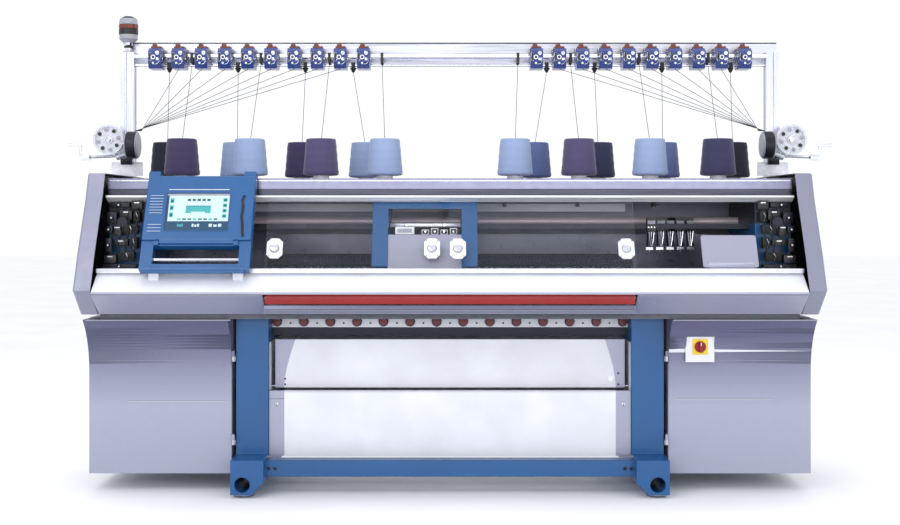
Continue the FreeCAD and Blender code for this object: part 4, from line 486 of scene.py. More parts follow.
def sink(shape, x, z, y, depth, material):
    """Presses a rectangle of a face that looks along Y into it by depth."""
    bm = shape.bm

    def inside():
        return [f for f in bm.faces if abs(f.normal.y) > 0.99 and abs(f.calc_center_median().y - y) < 1e-4]

    for point, normal in (((x[0], 0, 0), (1, 0, 0)), ((x[1], 0, 0), (1, 0, 0)),
                          ((0, 0, z[0]), (0, 0, 1)), ((0, 0, z[1]), (0, 0, 1))):
        faces = inside()
        edges = list({e for f in faces for e in f.edges})
        verts = list({v for f in faces for v in f.verts})
        bmesh.ops.bisect_plane(bm, geom=verts + edges + faces, plane_co=point, plane_no=normal)
    chosen = []
    for face in inside():
        centre = face.calc_center_median()
        if x[0] < centre.x < x[1] and z[0] < centre.z < z[1]:
            chosen.append(face)
    if not chosen:
        return
    direction = -chosen[0].normal.copy()
    region = bmesh.ops.extrude_face_region(bm, geom=chosen)
    verts = [g for g in region["geom"] if isinstance(g, bmesh.types.BMVert)]
    bmesh.ops.translate(bm, vec=direction * depth, verts=verts)
    bmesh.ops.delete(bm, geom=[f for f in chosen if f.is_valid], context="FACES_ONLY")
    shape.finish([g for g in region["geom"] if isinstance(g, bmesh.types.BMFace)], material)


def keep(node, material):
    """A CAD node that shows as it is, with a finish of its own."""
    piece = NODES[node]
    if not piece.material_slots:
        piece.data.materials.append(material)
    for held in piece.material_slots:
        held.material = material


def islands(node):
    """Lowest and highest corner of each separate solid of a CAD node, left to right."""
    bm = bmesh.new()
    bm.from_mesh(NODES[node].data)
    bmesh.ops.remove_doubles(bm, verts=bm.verts, dist=1e-6)
    seen = set()
    found = []
    for first in bm.verts:
        if first in seen:
            continue
        seen.add(first)
        heap = [first]
        low, high = first.co.copy(), first.co.copy()
        while heap:
            vert = heap.pop()
            low = Vector(map(min, low, vert.co))
            high = Vector(map(max, high, vert.co))
            for edge in vert.link_edges:
                other = edge.other_vert(vert)
                if other not in seen:
                    seen.add(other)
                    heap.append(other)
        found.append((low, high))
    bm.free()
    return sorted(found, key=lambda pair: (pair[0].x, pair[0].y))


def middle(pair):
    return (pair[0] + pair[1]) / 2


def within(point, x, z):
    """Whether a point lies inside a pair of limits along X and along Z."""
    return x[0] < point.x < x[1] and z[0] < point.z < z[1]


# ------------------------------------------------------------------ floor frame
def floor_frame():
    dressed("side_stands", BLUE, 0.003, "blue_paint")
    dressed("crossbars", lambda c, n: BLACK if abs(c.x) > 0.69 and c.y < -0.2951 else BLUE, 0.002,
            "blue_paint")
    keep("levelling_feet", RUBBER)
    shape = Shape()
    for low, high in islands("levelling_feet"):
        centre = (low + high) / 2
        shape.lathe(STEEL, [(0.0415, -0.0042), (0.0418, -0.003), (0.0418, 0.001), (0.0335, 0.0045)],
                    (centre.x, centre.y, centre.z))
    shape.made("foot_collars", "frame", "bright_steel")
    shape = Shape()
    stand_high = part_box("side_stands")[1]
    top = 0.150
    for side in (-1, 1):
        inner, outer = side * 0.738, side * stand_high.x - side * 0.002
        x = (min(inner, outer), max(inner, outer))
        for y in (-0.2155, 0.2155):
            shape.path(BLUE, [(x[0] + 0.004, y, top + 0.0015), (x[1] - 0.004, y, top + 0.0015)], 0.003)
        for y in (-0.2955, -0.2345):
            shape.path(BLUE, [(side * 0.7355, y, 0.076), (side * 0.7355, y, 0.138)], 0.0022)
        for y in (-0.356, 0.356):
            shape.lathe(STEEL, [(0.0325, -0.003), (0.0335, -0.001), (0.0335, 0.001), (0.0305, 0.003),
                                (0.0302, -0.003)], (side * 0.820, y + math.copysign(0.0015, y), 0.054),
                        (0, 1, 0), 36)
    shape.made("weld_beads_and_bore_rings", "frame", "blue_paint")


# ------------------------------------------------------------------ bed, ledge and covers
def bed_and_covers():
    keep("machine_bed", CAST)
    keep("front_needle_bed", NEEDLES)
    keep("rear_needle_bed", NEEDLES)
    needle_row("front_needles", "front_needle_bed", -1)
    needle_row("rear_needles", "rear_needle_bed", 1)
    cap_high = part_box("end_caps")[1]

    def cap_face(centre, normal):
        inside = abs(normal.x) > 0.9 and abs(centre.x) < cap_high.x - 0.002
        return BLACK if inside else CAP_LILAC

    dressed("end_caps", cap_face, 0.0012, "grey_cover")
    ledge_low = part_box("front_ledge")[0]

    def ledge_face(centre, normal):
        return LILAC if centre.z < ledge_low.z + 0.076 and normal.y < -0.7 else WHITE

    dressed("front_ledge", ledge_face, 0.0012, "white_paint")
    # Middle of the apron is painted darker as painted shade.
    dressed("front_apron", lambda c, n: LILAC if abs(c.x) > 0.727 else FASCIA_PAINTED_SHADE, 0.0008, "lilac_cover")
    dressed("engaging_bar", lambda c, n: RED if abs(c.x) < 0.7201 else STEEL, 0.0008, "red_paint")

    def track_face(centre, normal):
        if centre.z < 1.1:
            return ALU_X
        # Painted highlight below the split, painted shade above it.
        return TUBE_PAINTED_HIGHLIGHT if centre.z < TRACK_SPLIT_Z else TRACK_PAINTED_SHADE

    dressed("hood_tracks", track_face, 0.0, "aluminium", cuts=(((0, 0, TRACK_SPLIT_Z), (0, 0, 1)),))

    def cover_face(centre, normal):
        return PANEL_GREY if centre.y > 0 else LILAC

    dressed("inner_covers", cover_face, 0.0006, "lilac_cover")
    shape = Shape()
    edge_y = LOW.y + 0.0006
    # The upper, chrome strip is a painted highlight on the ledge's nose; the lower one is a thin dark line.
    for z in (0.8135, 0.8205):
        shape.box(CHROME if z > 0.818 else DARK, (-1.389, 1.389), (edge_y, edge_y + 0.0012), (z, z + 0.0018))
    shape.made("ledge_highlight_and_dark_line", "frame", "bright_steel")


def needle_row(name, node, side):
    """Needle butts standing in their tricks, a little below the bed's edge."""
    low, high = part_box(node)
    shape = Shape()
    edge_y = high.y if side < 0 else low.y
    down = Vector((0, side, -1)).normalized()
    out = Vector((0, side, 1)).normalized()
    top = Vector((0, edge_y + side * 0.021, high.z))
    place = Matrix(((1, 0, 0, 0), (0, down.y, out.y, top.y), (0, down.z, out.z, top.z), (0, 0, 0, 1)))
    pitch = 0.006
    count = int((high.x - low.x - 0.02) / pitch)
    start = -(count - 1) * pitch / 2
    for i in range(count):
        x = start + i * pitch
        rise = 0.0012 + 0.0006 * (i % 2)
        shape.box(STEEL, (x - 0.0006, x + 0.0006), (0.004, 0.058), (0.0001, rise * 0.6), place=place)
        shape.box(CHROME, (x - 0.0006, x + 0.0006), (0.030, 0.036), (0.0001, rise), place=place)
    shape.box(STEEL, (low.x + 0.004, high.x - 0.004), (0.070, 0.082), (0.0001, 0.0014), 0.0004, place)
    shape.made(name, NODES[node]["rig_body"], "bed_steel")


# ------------------------------------------------------------------ hoods
def hoods():
    for node in ("left_hood", "right_hood"):
        low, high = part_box(node)

        def hood_face(centre, normal, low=low, high=high):
            from_end = min(centre.x - low.x, high.x - centre.x)
            near_handle = from_end < HANDLE_REACH and HANDLE_Z[0] < centre.z < HANDLE_Z[1]
            depth = (SLOPE.inverted() @ centre).z
            if near_handle and depth > HOOD_FACE[node] + 0.0005:
                return WHITE_PLASTIC
            # End faces of a pane take the painted highlight.
            at_end = abs(abs(normal.x) - 1) < 0.01 and from_end < 0.001
            return PANE_EDGE_PAINTED_HIGHLIGHT if at_end else PANE

        dressed(node, hood_face, 0.0, "clear_pane")
        shape = Shape()
        depth = HOOD_FACE[node]
        rise = (HANDLE_MIDDLE_Z - SLOPE_FOOT.z - depth * math.sin(SLOPE_ANGLE)) / math.cos(SLOPE_ANGLE)
        out = SLOPE.to_3x3() @ Vector((0, 0, 1))
        for x in (low.x + HANDLE_IN, high.x - HANDLE_IN):
            foot = SLOPE @ Vector((x, rise, depth + HANDLE_PLATE))
            ring = [(0.0195, 0.0002), (0.0195, 0.0012), (0.0165, 0.0022), (0.0152, 0.0012)]
            shape.lathe(GREY_PLASTIC, ring, foot, out)
            shape.lathe(CHROME, [(0.0148, 0.0108), (0.0115, 0.0116), (0.0, 0.0118)], foot, out)
            for dx, dy in ((-0.022, -0.033), (0.022, -0.033), (-0.022, 0.033), (0.022, 0.033)):
                screw = SLOPE @ Vector((x + dx, rise + dy, depth + HANDLE_PLATE))
                shape.lathe(STEEL, [(0.003, 0.0001), (0.003, 0.0008), (0.0, 0.0012)], screw, out, 12)
        shape.made(node + "_handle_trim", NODES[node]["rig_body"], "white_plastic")


# ------------------------------------------------------------------ rails and end mechanisms
def rails():
    def bracket_face(centre, normal):
        return DARK if centre.z > BRACKET_SPLIT_Z else BLUE

    dressed("rail_brackets", bracket_face, 0.0015, "blue_paint", cuts=(((0, 0, BRACKET_SPLIT_Z), (0, 0, 1)),))

    def rail_face(centre, normal):
        return ROSE_RAIL if centre.y > 0.1 else STEEL_X if centre.y < -0.2 else DARK

    dressed("guide_rails", rail_face, 0.0, "bright_steel")
    # Top of the yarn rail painted near-white as a painted highlight.
    dressed("yarn_rail", lambda c, n: TUBE_PAINTED_HIGHLIGHT if c.z > 1.17 else WHITE, 0.0, "white_paint")
    keep("bearing_plates", CAST)
    end_mechanisms()


def end_mechanisms():
    """Yarn cutters, clamps and hose runs between each bracket and its end cap."""
    shape = Shape()
    blocks = ((1.246, 1.290, 1.142, 1.176, -0.222, 0.030), (1.300, 1.384, 1.150, 1.170, -0.214, 0.022),
              (1.252, 1.276, 1.094, 1.134, -0.244, 0.036), (1.284, 1.334, 1.100, 1.138, -0.238, 0.030),
              (1.344, 1.382, 1.086, 1.130, -0.246, 0.040), (1.258, 1.312, 1.044, 1.080, -0.262, 0.036),
              (1.322, 1.350, 1.036, 1.076, -0.268, 0.044), (1.358, 1.384, 1.048, 1.074, -0.258, 0.030),
              (1.254, 1.282, 0.984, 1.030, -0.282, 0.040), (1.292, 1.346, 0.996, 1.022, -0.276, 0.030),
              (1.354, 1.378, 0.972, 1.026, -0.286, 0.036), (1.262, 1.322, 0.936, 0.972, -0.296, 0.034),
              (1.332, 1.380, 0.926, 0.960, -0.300, 0.040), (1.250, 1.384, 0.908, 0.922, -0.304, 0.050))
    for side in (-1, 1):
        for number, (x0, x1, z0, z1, y, depth) in enumerate(blocks):
            x = sorted((side * x0, side * x1))
            shape.box((BLACK, DARK, RUBBER)[number % 3], x, (y, y + depth), (z0, z1), 0.0025)
            middle_x, middle_z = side * (x0 + x1) / 2, (z0 + z1) / 2
            if number % 3 == 0:
                shape.box(STEEL, (middle_x - 0.010, middle_x + 0.010), (y - 0.0015, y),
                          (z1 - 0.009, z1 - 0.005))
            elif number % 3 == 1:
                shape.rod(DARK, (middle_x, y - 0.010, middle_z), (middle_x, y, middle_z), 0.009)
                shape.rod(STEEL, (middle_x, y - 0.012, middle_z), (middle_x, y - 0.010, middle_z), 0.0035, 12)
            else:
                shape.path(STEEL, [(middle_x, y - 0.003, z1 - 0.006), (middle_x + 0.006, y - 0.008, middle_z),
                                   (middle_x + 0.002, y - 0.004, z0 + 0.002)], 0.0026, 8)
        for k in range(4):
            x = side * (1.262 + 0.030 * k)
            shape.path(RUBBER, [(x, -0.222, 1.146), (x + side * 0.008, -0.240, 1.118),
                                (x - side * 0.006, -0.256, 1.064), (x + side * 0.009, -0.276, 1.006),
                                (x, -0.290, 0.932)], 0.0036)
        shape.lathe(DARK, [(0.0, -0.006), (0.021, -0.006), (0.0225, -0.004), (0.0225, 0.0), (0.0, 0.0)],
                    (side * 1.318, -0.252, 1.090), (0, 1, 0))
    shape.made("end_mechanisms", "frame", "dark_metal")


# ------------------------------------------------------------------ carriage
def carriage():
    dressed("carriage_bridge", BLUE, 0.002, "blue_paint")
    keep("carriage_cams", DARK)
    low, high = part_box("carriage_cover")
    dressed("carriage_cover", lambda c, n: LILAC if c.z > COVER_SPLIT_Z else GREY, 0.001, "lilac_cover",
            cuts=(((0, 0, COVER_SPLIT_Z), (0, 0, 1)),))
    shape = Shape()
    box_x = (low.x + 0.028, low.x + 0.106)
    shape.box(WHITE_PLASTIC, box_x, (high.y - 0.13, high.y - 0.06), (high.z, high.z + 0.032), 0.004)
    shape.box(GREY_PLASTIC, (box_x[0] + 0.01, box_x[1] - 0.01), (high.y - 0.1312, high.y - 0.13),
              (high.z + 0.008, high.z + 0.024))
    for k in range(4):
        x = low.x + 0.135 + 0.038 * k
        shape.box((DARK, BLACK)[k % 2], (x, x + 0.03), (high.y - 0.11, high.y - 0.05),
                  (high.z, high.z + 0.02 + 0.006 * (k % 2)), 0.003)
        shape.rod(CHROME, (x + 0.015, high.y - 0.116, high.z + 0.012),
                  (x + 0.015, high.y - 0.11, high.z + 0.012), 0.005, 12)
    shape.box(ALU_X, (low.x + 0.004, high.x - 0.004), (high.y - 0.02, high.y - 0.004),
              (high.z + 0.03, high.z + 0.045), 0.002)
    for x in (low.x + 0.07, high.x - 0.07):
        shape.rod(CHROME, (x, high.y - 0.026, high.z + 0.038), (x, high.y - 0.02, high.z + 0.038), 0.006, 12)
        shape.box(DARK, (x - 0.008, x + 0.008), (high.y - 0.018, high.y - 0.006), (high.z, high.z + 0.03))
    shape.made("carriage_fittings", "carriage", "dark_metal")
    for node in ("drive_pulley", "idler_pulley"):
        keep(node, STEEL)
    keep("drive_belt", RUBBER)
    keep("drive_motor", DARK)


# ------------------------------------------------------------------ yarn carriers
def yarn_carriers():
    for number in range(1, 6):
        node = f"yarn_carrier_{number}"
        low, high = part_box(node)

        def carrier_face(centre, normal):
            if centre.z > CARRIER_SPLITS_Z[0]:
                return BLACK
            return STEEL if centre.z < CARRIER_SPLITS_Z[1] else DARK

        dressed(node, carrier_face, 0.0006, "dark_metal",
                cuts=[((0, 0, z), (0, 0, 1)) for z in CARRIER_SPLITS_Z])
        shape = Shape()
        centre = (low.x + high.x) / 2
        front = low.y
        for dx in (-0.012, 0.0, 0.012):
            shape.rod(CHROME, (centre + dx, front - 0.0016, 1.068), (centre + dx, front, 1.068), 0.003, 12)
        shape.box(GREY_PLASTIC, (low.x + 0.004, high.x - 0.004), (front - 0.0012, front), (1.082, 1.096),
                  0.0004)
        for dx in (-0.011, 0.0, 0.011):
            lever = [(centre + dx * lean, front - 0.0004, z) for lean, z in ((1.0, 1.050), (0.7, 1.020),
                                                                             (0.3, 0.990))]
            shape.path(CHROME, lever, 0.0016, 8)
        shape.made(node + "_screws", NODES[node]["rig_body"], "bright_steel")


# ------------------------------------------------------------------ take-down and fabric bin
def take_down():
    dressed("takedown_channel", lambda c, n: DARK if c.z < 0.6551 or (n.y < -0.9 and c.y > -0.103) else WHITE,
            0.0, "white_paint")
    dressed("takedown_screws", MAROON, 0.0009, "maroon_plastic")
    keep("takedown_roller_front", RUBBER)
    keep("takedown_roller_rear", RUBBER)
    shape = Shape()
    screws = islands("takedown_screws")
    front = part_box("takedown_channel")[0].y
    for low, high in screws:
        centre = (low + high) / 2
        face = low.y
        shape.lathe(BROWN, [(0.0, -0.0002), (0.006, -0.0002), (0.0105, 0.0004), (0.0105, 0.0012)],
                    (centre.x, face - 0.0006, centre.z), (0, 1, 0), 20)
        shape.lathe(STEEL, [(0.0202, -0.0012), (0.0208, -0.0006), (0.0208, 0.0), (0.0, 0.0)],
                    (centre.x, front, centre.z), (0, 1, 0))
    for a, b in zip(screws, screws[1:]):
        x = (middle(a).x + middle(b).x) / 2
        shape.lathe(BLACK, [(0.0, -0.0016), (0.0032, -0.0014), (0.0042, 0.0)], (x, front, 0.672),
                    (0, 1, 0), 12)
    for x in (0.575, 0.585, 0.6, -0.64):
        shape.box(BLACK, (x, x + 0.006), (front - 0.003, front), (0.690, 0.702), 0.001)
    shape.made("takedown_trim", "frame", "dark_metal")
    keep("fabric_bin", WHITE)
    flap_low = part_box("fabric_flap")[0]
    levels = (0.412, 0.45, 0.50, 0.55, 0.609)

    def shade_strip_width(z):
        """Width of the lilac side strip of the flap at a height: painted shadow of the side walls."""
        share = (z - levels[0]) / (levels[-1] - levels[0])
        return 0.036 + 0.046 * share ** 1.6

    cuts = [((0, 0, z), (0, 0, 1)) for z in levels[1:-1]]
    for a, b in zip(levels, levels[1:]):
        for side in (-1, 1):
            wa, wb = side * (FLAP_HALF - shade_strip_width(a)), side * (FLAP_HALF - shade_strip_width(b))
            cuts.append(((wa, 0, a), (b - a, 0, -(wb - wa))))

    def flap_face(centre, normal):
        z = min(max(centre.z, levels[0]), levels[-1])
        at = next(i for i in range(4) if z <= levels[i + 1] + 1e-6)
        share = (z - levels[at]) / (levels[at + 1] - levels[at])
        width = shade_strip_width(levels[at]) * (1 - share) + shade_strip_width(levels[at + 1]) * share
        if abs(centre.x) > FLAP_HALF + 0.0005:
            return STEEL
        # Lilac strips at the sides of the flap are painted shadow of the side walls.
        return LILAC if abs(centre.x) > FLAP_HALF - width else WHITE

    dressed("fabric_flap", flap_face, 0.0, "white_paint", cuts=cuts)
    panel_low, panel_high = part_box("bin_panel")
    inner = panel_high.x - SHADE_STRIP_WIDTH
    # Lilac strips at the ends of the bin panel are painted shade.
    dressed("bin_panel", lambda c, n: LILAC if abs(c.x) > inner else WHITE, 0.0008, "white_paint",
            cuts=(((inner, 0, 0), (1, 0, 0)), ((-inner, 0, 0), (1, 0, 0))))
    shape = Shape()
    y = flap_low.y
    for x, z in ((-0.676, 0.448), (-0.676, 0.425), (0.69, 0.470), (0.69, 0.425)):
        shape.lathe(DARK, [(0.0, -0.0014), (0.0034, -0.0012), (0.0042, 0.0)], (x, y, z), (0, 1, 0), 12)
    shape.made("flap_screws", "flap", "dark_metal")
    shape = Shape()
    y = panel_low.y
    for x in (-0.704, 0.704):
        shape.lathe(STEEL, [(0.0, -0.003), (0.004, -0.003), (0.0075, -0.0016), (0.0085, 0.0)], (x, y, 0.350),
                    (0, 1, 0), 20)
        shape.box(BLACK, (x - 0.001, x + 0.001), (y - 0.0034, y - 0.0029), (0.345, 0.355))
    # Grey line along the top of the bin panel is the painted shadow of the flap's lower edge.
    shape.box(GREY, (-inner + 0.001, inner - 0.001), (y - 0.0004, y),
              (panel_high.z - 0.005, panel_high.z - 0.003))
    shape.box(DARK, (-0.7355, -inner), (y - 0.0003, y), (0.372, 0.3735))
    shape.made("bin_panel_trim", "frame", "dark_metal")
    keep("flap_lock", CHROME)


# ------------------------------------------------------------------ cabinets and doors
def cabinets():
    dressed("cabinets", GREY, 0.0012, "grey_cover")
    keep("cabinet_electrics", DARK)
    keep("cabinet_hinges", STEEL)
    for node, body in (("left_door", "left_door_body"), ("right_door", "right_door_body")):
        def door_face(centre, normal, node=node):
            # The pocket is painted white: its own light grey made whiter as a painted highlight.
            if node == "right_door" and within(centre, POCKET_X, POCKET_Z):
                on_plate = within(centre, PLATE_X, PLATE_Z) and centre.y < PLATE_FACE_Y
                return YELLOW if on_plate else WHITE
            return DOOR

        dressed(node, door_face, 0.0, "lilac_cover")
        low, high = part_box(node)
        shape = Shape()
        inner = 0.9075 if node == "left_door" else 0.909
        side = -1 if node == "left_door" else 1
        x = sorted((side * inner, side * (inner + LINE_LENGTH)))
        skin = DOOR_SKIN_Y
        z = 0.367 if side < 0 else 0.373
        shape.box(DARK, x, (skin - 0.0004, skin), (z, z + 0.0012))
        shape.box(CHROME, x, (skin - 0.0005, skin), (z - 0.0012, z))
        # Chrome strip along the top edge of the door is a painted highlight.
        top = (low.x + 0.012, high.x - 0.002) if side < 0 else (low.x + 0.017, high.x - 0.002)
        shape.box(CHROME, top, (low.y + 0.0004, low.y + 0.002), (high.z - 0.0025, high.z - 0.0005))
        shape.made(node + "_lines", body, "bright_steel")
    keep("switch_knob", RED)
    low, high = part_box("switch_knob")
    centre = (low + high) / 2
    shape = Shape()
    shape.lathe(RED, [(0.0222, -0.0005), (0.0226, 0.0), (0.0226, 0.004), (0.0222, 0.0045)],
                (centre.x, -0.2525, centre.z), (0, 1, 0), 36)
    shape.box(WHITE_PLASTIC, (centre.x - 0.0012, centre.x + 0.0012), (low.y - 0.0002, low.y),
              (centre.z + 0.006, centre.z + 0.018))
    shape.made("switch_pointer", "switch", "red_paint")


# ------------------------------------------------------------------ yarn shelf and cones
def shelf_and_cones():
    # The shelf carries the same darker lilac, painted shade.
    dressed("yarn_shelf", FASCIA_PAINTED_SHADE, 0.0025, "lilac_cover")
    keep("cone_holders", WHITE_PLASTIC)
    shape = Shape()
    low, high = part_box("yarn_shelf")
    # A thin dark strip under the shelf's front edge, and a chrome strip near the top of its front that is a
    # painted highlight on that edge.
    shape.box(DARK, (low.x + 0.002, high.x - 0.002), (low.y + 0.0006, low.y + 0.003), (low.z - 0.0035, low.z))
    shape.box(CHROME, (low.x + 0.002, high.x - 0.002), (low.y - 0.0004, low.y),
              (high.z - 0.010, high.z - 0.008))
    shape.made("shelf_highlight_and_dark_edge", "frame", "dark_metal")
    cones = islands("yarn_cones")
    split = sum(middle(c).y for c in cones) / len(cones)
    rows = {"front": [c for c in cones if middle(c).y < split],
            "rear": [c for c in cones if middle(c).y >= split]}
    # The rear row's blue cones are sky yarn darkened as painted shade.
    tints = {"front": ("plum", "sky", "mauve", "sky", "sky", "mauve", "sky", "slate"),
             "rear": ("ink", "sky", "plum", "sky", "blue", "slate", "blue", "ink")}
    for row, cone_places in rows.items():
        for number, (pair, tint) in enumerate(zip(cone_places, tints[row]), 1):
            yarn_cone(f"yarn_cone_{row}_{number}", pair, CONE_YARNS[tint])


def yarn_cone(name, pair, material):
    """Cross-wound package: full at the foot, rounded shoulders and a paper core."""
    low, high = pair
    centre = (low + high) / 2
    base, height = (high.x - low.x) / 2, high.z - low.z
    top = base * 63 / 75.5
    shape = Shape()
    rings = [(0.34, 0.006), (0.78, 0.0), (0.93, 0.012), (0.992, 0.045), (1.0, 0.10)]
    profile = [(base * r, height * h) for r, h in rings]
    for i in range(1, 12):
        share = i / 12
        wobble = 0.0007 * math.sin(share * 23 + centre.x * 9)
        radius = base + (top - base) * (0.10 + 0.86 * share) + wobble
        profile.append((radius, height * (0.10 + 0.84 * share)))
    profile += [(top * 0.985, height * 0.975), (top * 0.93, height * 0.995), (top * 0.5, height * 0.99),
                (top * 0.34, height * 0.985)]
    shape.lathe(material, profile, (centre.x, centre.y, low.z), steps=56)
    core = [(top * 0.34, height * 0.93), (top * 0.335, height * 0.99), (top * 0.30, height * 0.992),
            (top * 0.28, height * 0.93)]
    shape.lathe(WHITE_PLASTIC, core, (centre.x, centre.y, low.z), steps=28)
    shape.made(name, "frame", "yarn", ("yarn_cones",))


# ------------------------------------------------------------------ posts, beam and lamp
def beam():
    dressed("yarn_posts", ALU_Z, 0.0, "aluminium")

    def beam_face(centre, normal):
        return CHROME if centre.y < 0.2795 else ALU_X

    dressed("yarn_beam", beam_face, 0.0, "aluminium")
    low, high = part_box("yarn_beam")
    shape = Shape()
    shape.box(DARK, (low.x + 0.001, high.x - 0.001), (0.3035, 0.3049), (high.z - 0.006, high.z - 0.001))
    shape.box(GREY_PLASTIC, (low.x + 0.03, high.x - 0.03), (0.3035, 0.3049), (1.828, 1.833))
    shape.made("beam_edge", "frame", "dark_metal")

    def unit_face(centre, normal):
        if centre.y < 0.1849:
            return PORCELAIN
        if centre.z > 1.8501:
            return ORANGE if normal.z > 0.5 else BROWN
        return BLUE_PLASTIC

    dressed("tension_units", unit_face, 0.0, "blue_plastic")
    shape = Shape()
    housings = [pair for pair in islands("tension_units") if pair[1].x - pair[0].x > 0.05]
    for low, high in housings:
        x = (low.x + high.x) / 2
        front = low.y
        for dx, z, radius in ((0.013, 1.826, 0.0085), (0.013, 1.800, 0.006)):
            shape.lathe(CHROME, [(0.0, -0.009), (0.003, -0.009), (0.0035, -0.004), (radius, -0.0035),
                                 (radius, -0.0005), (0.003, 0.0)], (x + dx, front, z), (0, 1, 0), 20)
        shape.box(BLACK, (low.x + 0.003, low.x + 0.014), (front - 0.002, front), (1.792, 1.829), 0.0008)
        shape.path(CHROME, [(x + 0.020, front - 0.002, 1.806), (x + 0.023, front - 0.005, 1.792),
                            (x + 0.016, front - 0.006, 1.780), (x + 0.004, front - 0.005, 1.777)], 0.0011, 8)
        shape.box(BROWN, (low.x - 0.004, low.x - 0.0004), (front + 0.03, front + 0.085),
                  (1.835, 1.853), 0.001)
        shape.box(BLACK, (high.x + 0.0004, high.x + 0.003), (front + 0.03, front + 0.08),
                  (1.800, 1.840), 0.001)
    shape.made("tension_discs", "frame", "bright_steel")
    dressed("guide_eyes", BLACK, 0.0, "black_plastic")
    keep("supply_yarns", THREAD)
    lamp()


def lamp():
    """Stacked signal lamp: grey foot, dark and brown rings, grey dome and a black cap."""
    low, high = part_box("signal_lamp")
    centre = (low + high) / 2
    shape = Shape()
    radius = (high.x - low.x) / 2

    def ring(material, z0, z1, r0, r1=None):
        r1 = r0 if r1 is None else r1
        ease = 0.0014
        profile = [(0, z0), (r0 - ease, z0), (r0, z0 + ease), (r1, z1 - ease), (r1 - ease, z1), (0, z1)]
        shape.lathe(material, profile, (centre.x, centre.y, 0), steps=40)

    z = low.z
    ring(STEEL, z, z + 0.006, 0.024)
    ring(CHROME, z + 0.006, z + 0.022, 0.013)
    ring(BLACK, z + 0.022, z + 0.030, 0.020)
    ring(CHROME, z + 0.030, z + 0.046, 0.015, 0.018)
    ring(GREY_PLASTIC, z + 0.046, z + 0.058, 0.028, radius - 0.004)
    ring(GREY_PLASTIC, z + 0.058, z + 0.080, radius - 0.002)
    ring(BLACK, z + 0.080, z + 0.105, radius)
    ring(BROWN, z + 0.105, z + 0.124, radius - 0.001)
    ring(GREY_PLASTIC, z + 0.124, z + 0.150, radius, radius - 0.004)
    ring(BLACK, z + 0.150, high.z, radius - 0.008, radius - 0.020)
    for k in range(24):
        angle = 2 * math.pi * k / 24
        x, y = centre.x + (radius - 0.0012) * math.cos(angle), centre.y + (radius - 0.0012) * math.sin(angle)
        shape.path(ORANGE if k % 3 else BLACK, [(x, y, z + 0.107), (x, y, z + 0.122)], 0.0011, 6)
    shape.made("signal_lamp_stack", "frame", "grey_cover", ("signal_lamp",))


# ------------------------------------------------------------------ side feeders
def feeders():
    def feeder_face(centre, normal):
        x = abs(centre.x)
        if x > 1.56:
            return CHROME
        if centre.z < 1.352:
            return WHITE_PLASTIC if normal.z < 0.5 else ALU_X
        if x < 1.4135:
            return DARK if abs(normal.x) < 0.5 else GREY_PLASTIC
        return STEEL

    dressed("yarn_feeders", feeder_face, 0.0, "dark_metal")
    for node in ("left_feeder_wheel", "right_feeder_wheel"):
        keep(node, MILKY)
        low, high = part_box(node)
        centre = (low + high) / 2
        shape = Shape()
        for k in range(8):
            angle = 2 * math.pi * k / 8 + 0.2
            x, z = centre.x + 0.044 * math.cos(angle), centre.z + 0.044 * math.sin(angle)
            shape.lathe(BLACK if k % 2 else GREY_PLASTIC, [(0.0, -0.0012), (0.007, -0.001), (0.0085, 0.0)],
                        (x, low.y, z), (0, 1, 0), 16)
        shape.lathe(CHROME, [(0.0, -0.004), (0.009, -0.004), (0.012, -0.001), (0.012, 0.0)],
                    (centre.x, low.y, centre.z), (0, 1, 0), 20)
        shape.made(node + "_trim", NODES[node]["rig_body"], "black_plastic")


# ------------------------------------------------------------------ rear cover
def rear_cover():
    low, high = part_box("rear_cover")
    grooves = []
    for x in (-0.93, -0.465, 0.0, 0.465, 0.93):
        grooves.append(((x - 0.002, x + 0.002), (low.z + 0.02, high.z - 0.02), high.y, 0.0015, DARK))
    for x in (-1.16, 1.16):
        for k in range(9):
            z = 0.86 + 0.022 * k
            grooves.append(((x - 0.11, x + 0.11), (z, z + 0.008), high.y, 0.0024, BLACK))
    dressed("rear_cover", GREY, 0.0, "grey_cover", recesses=grooves)


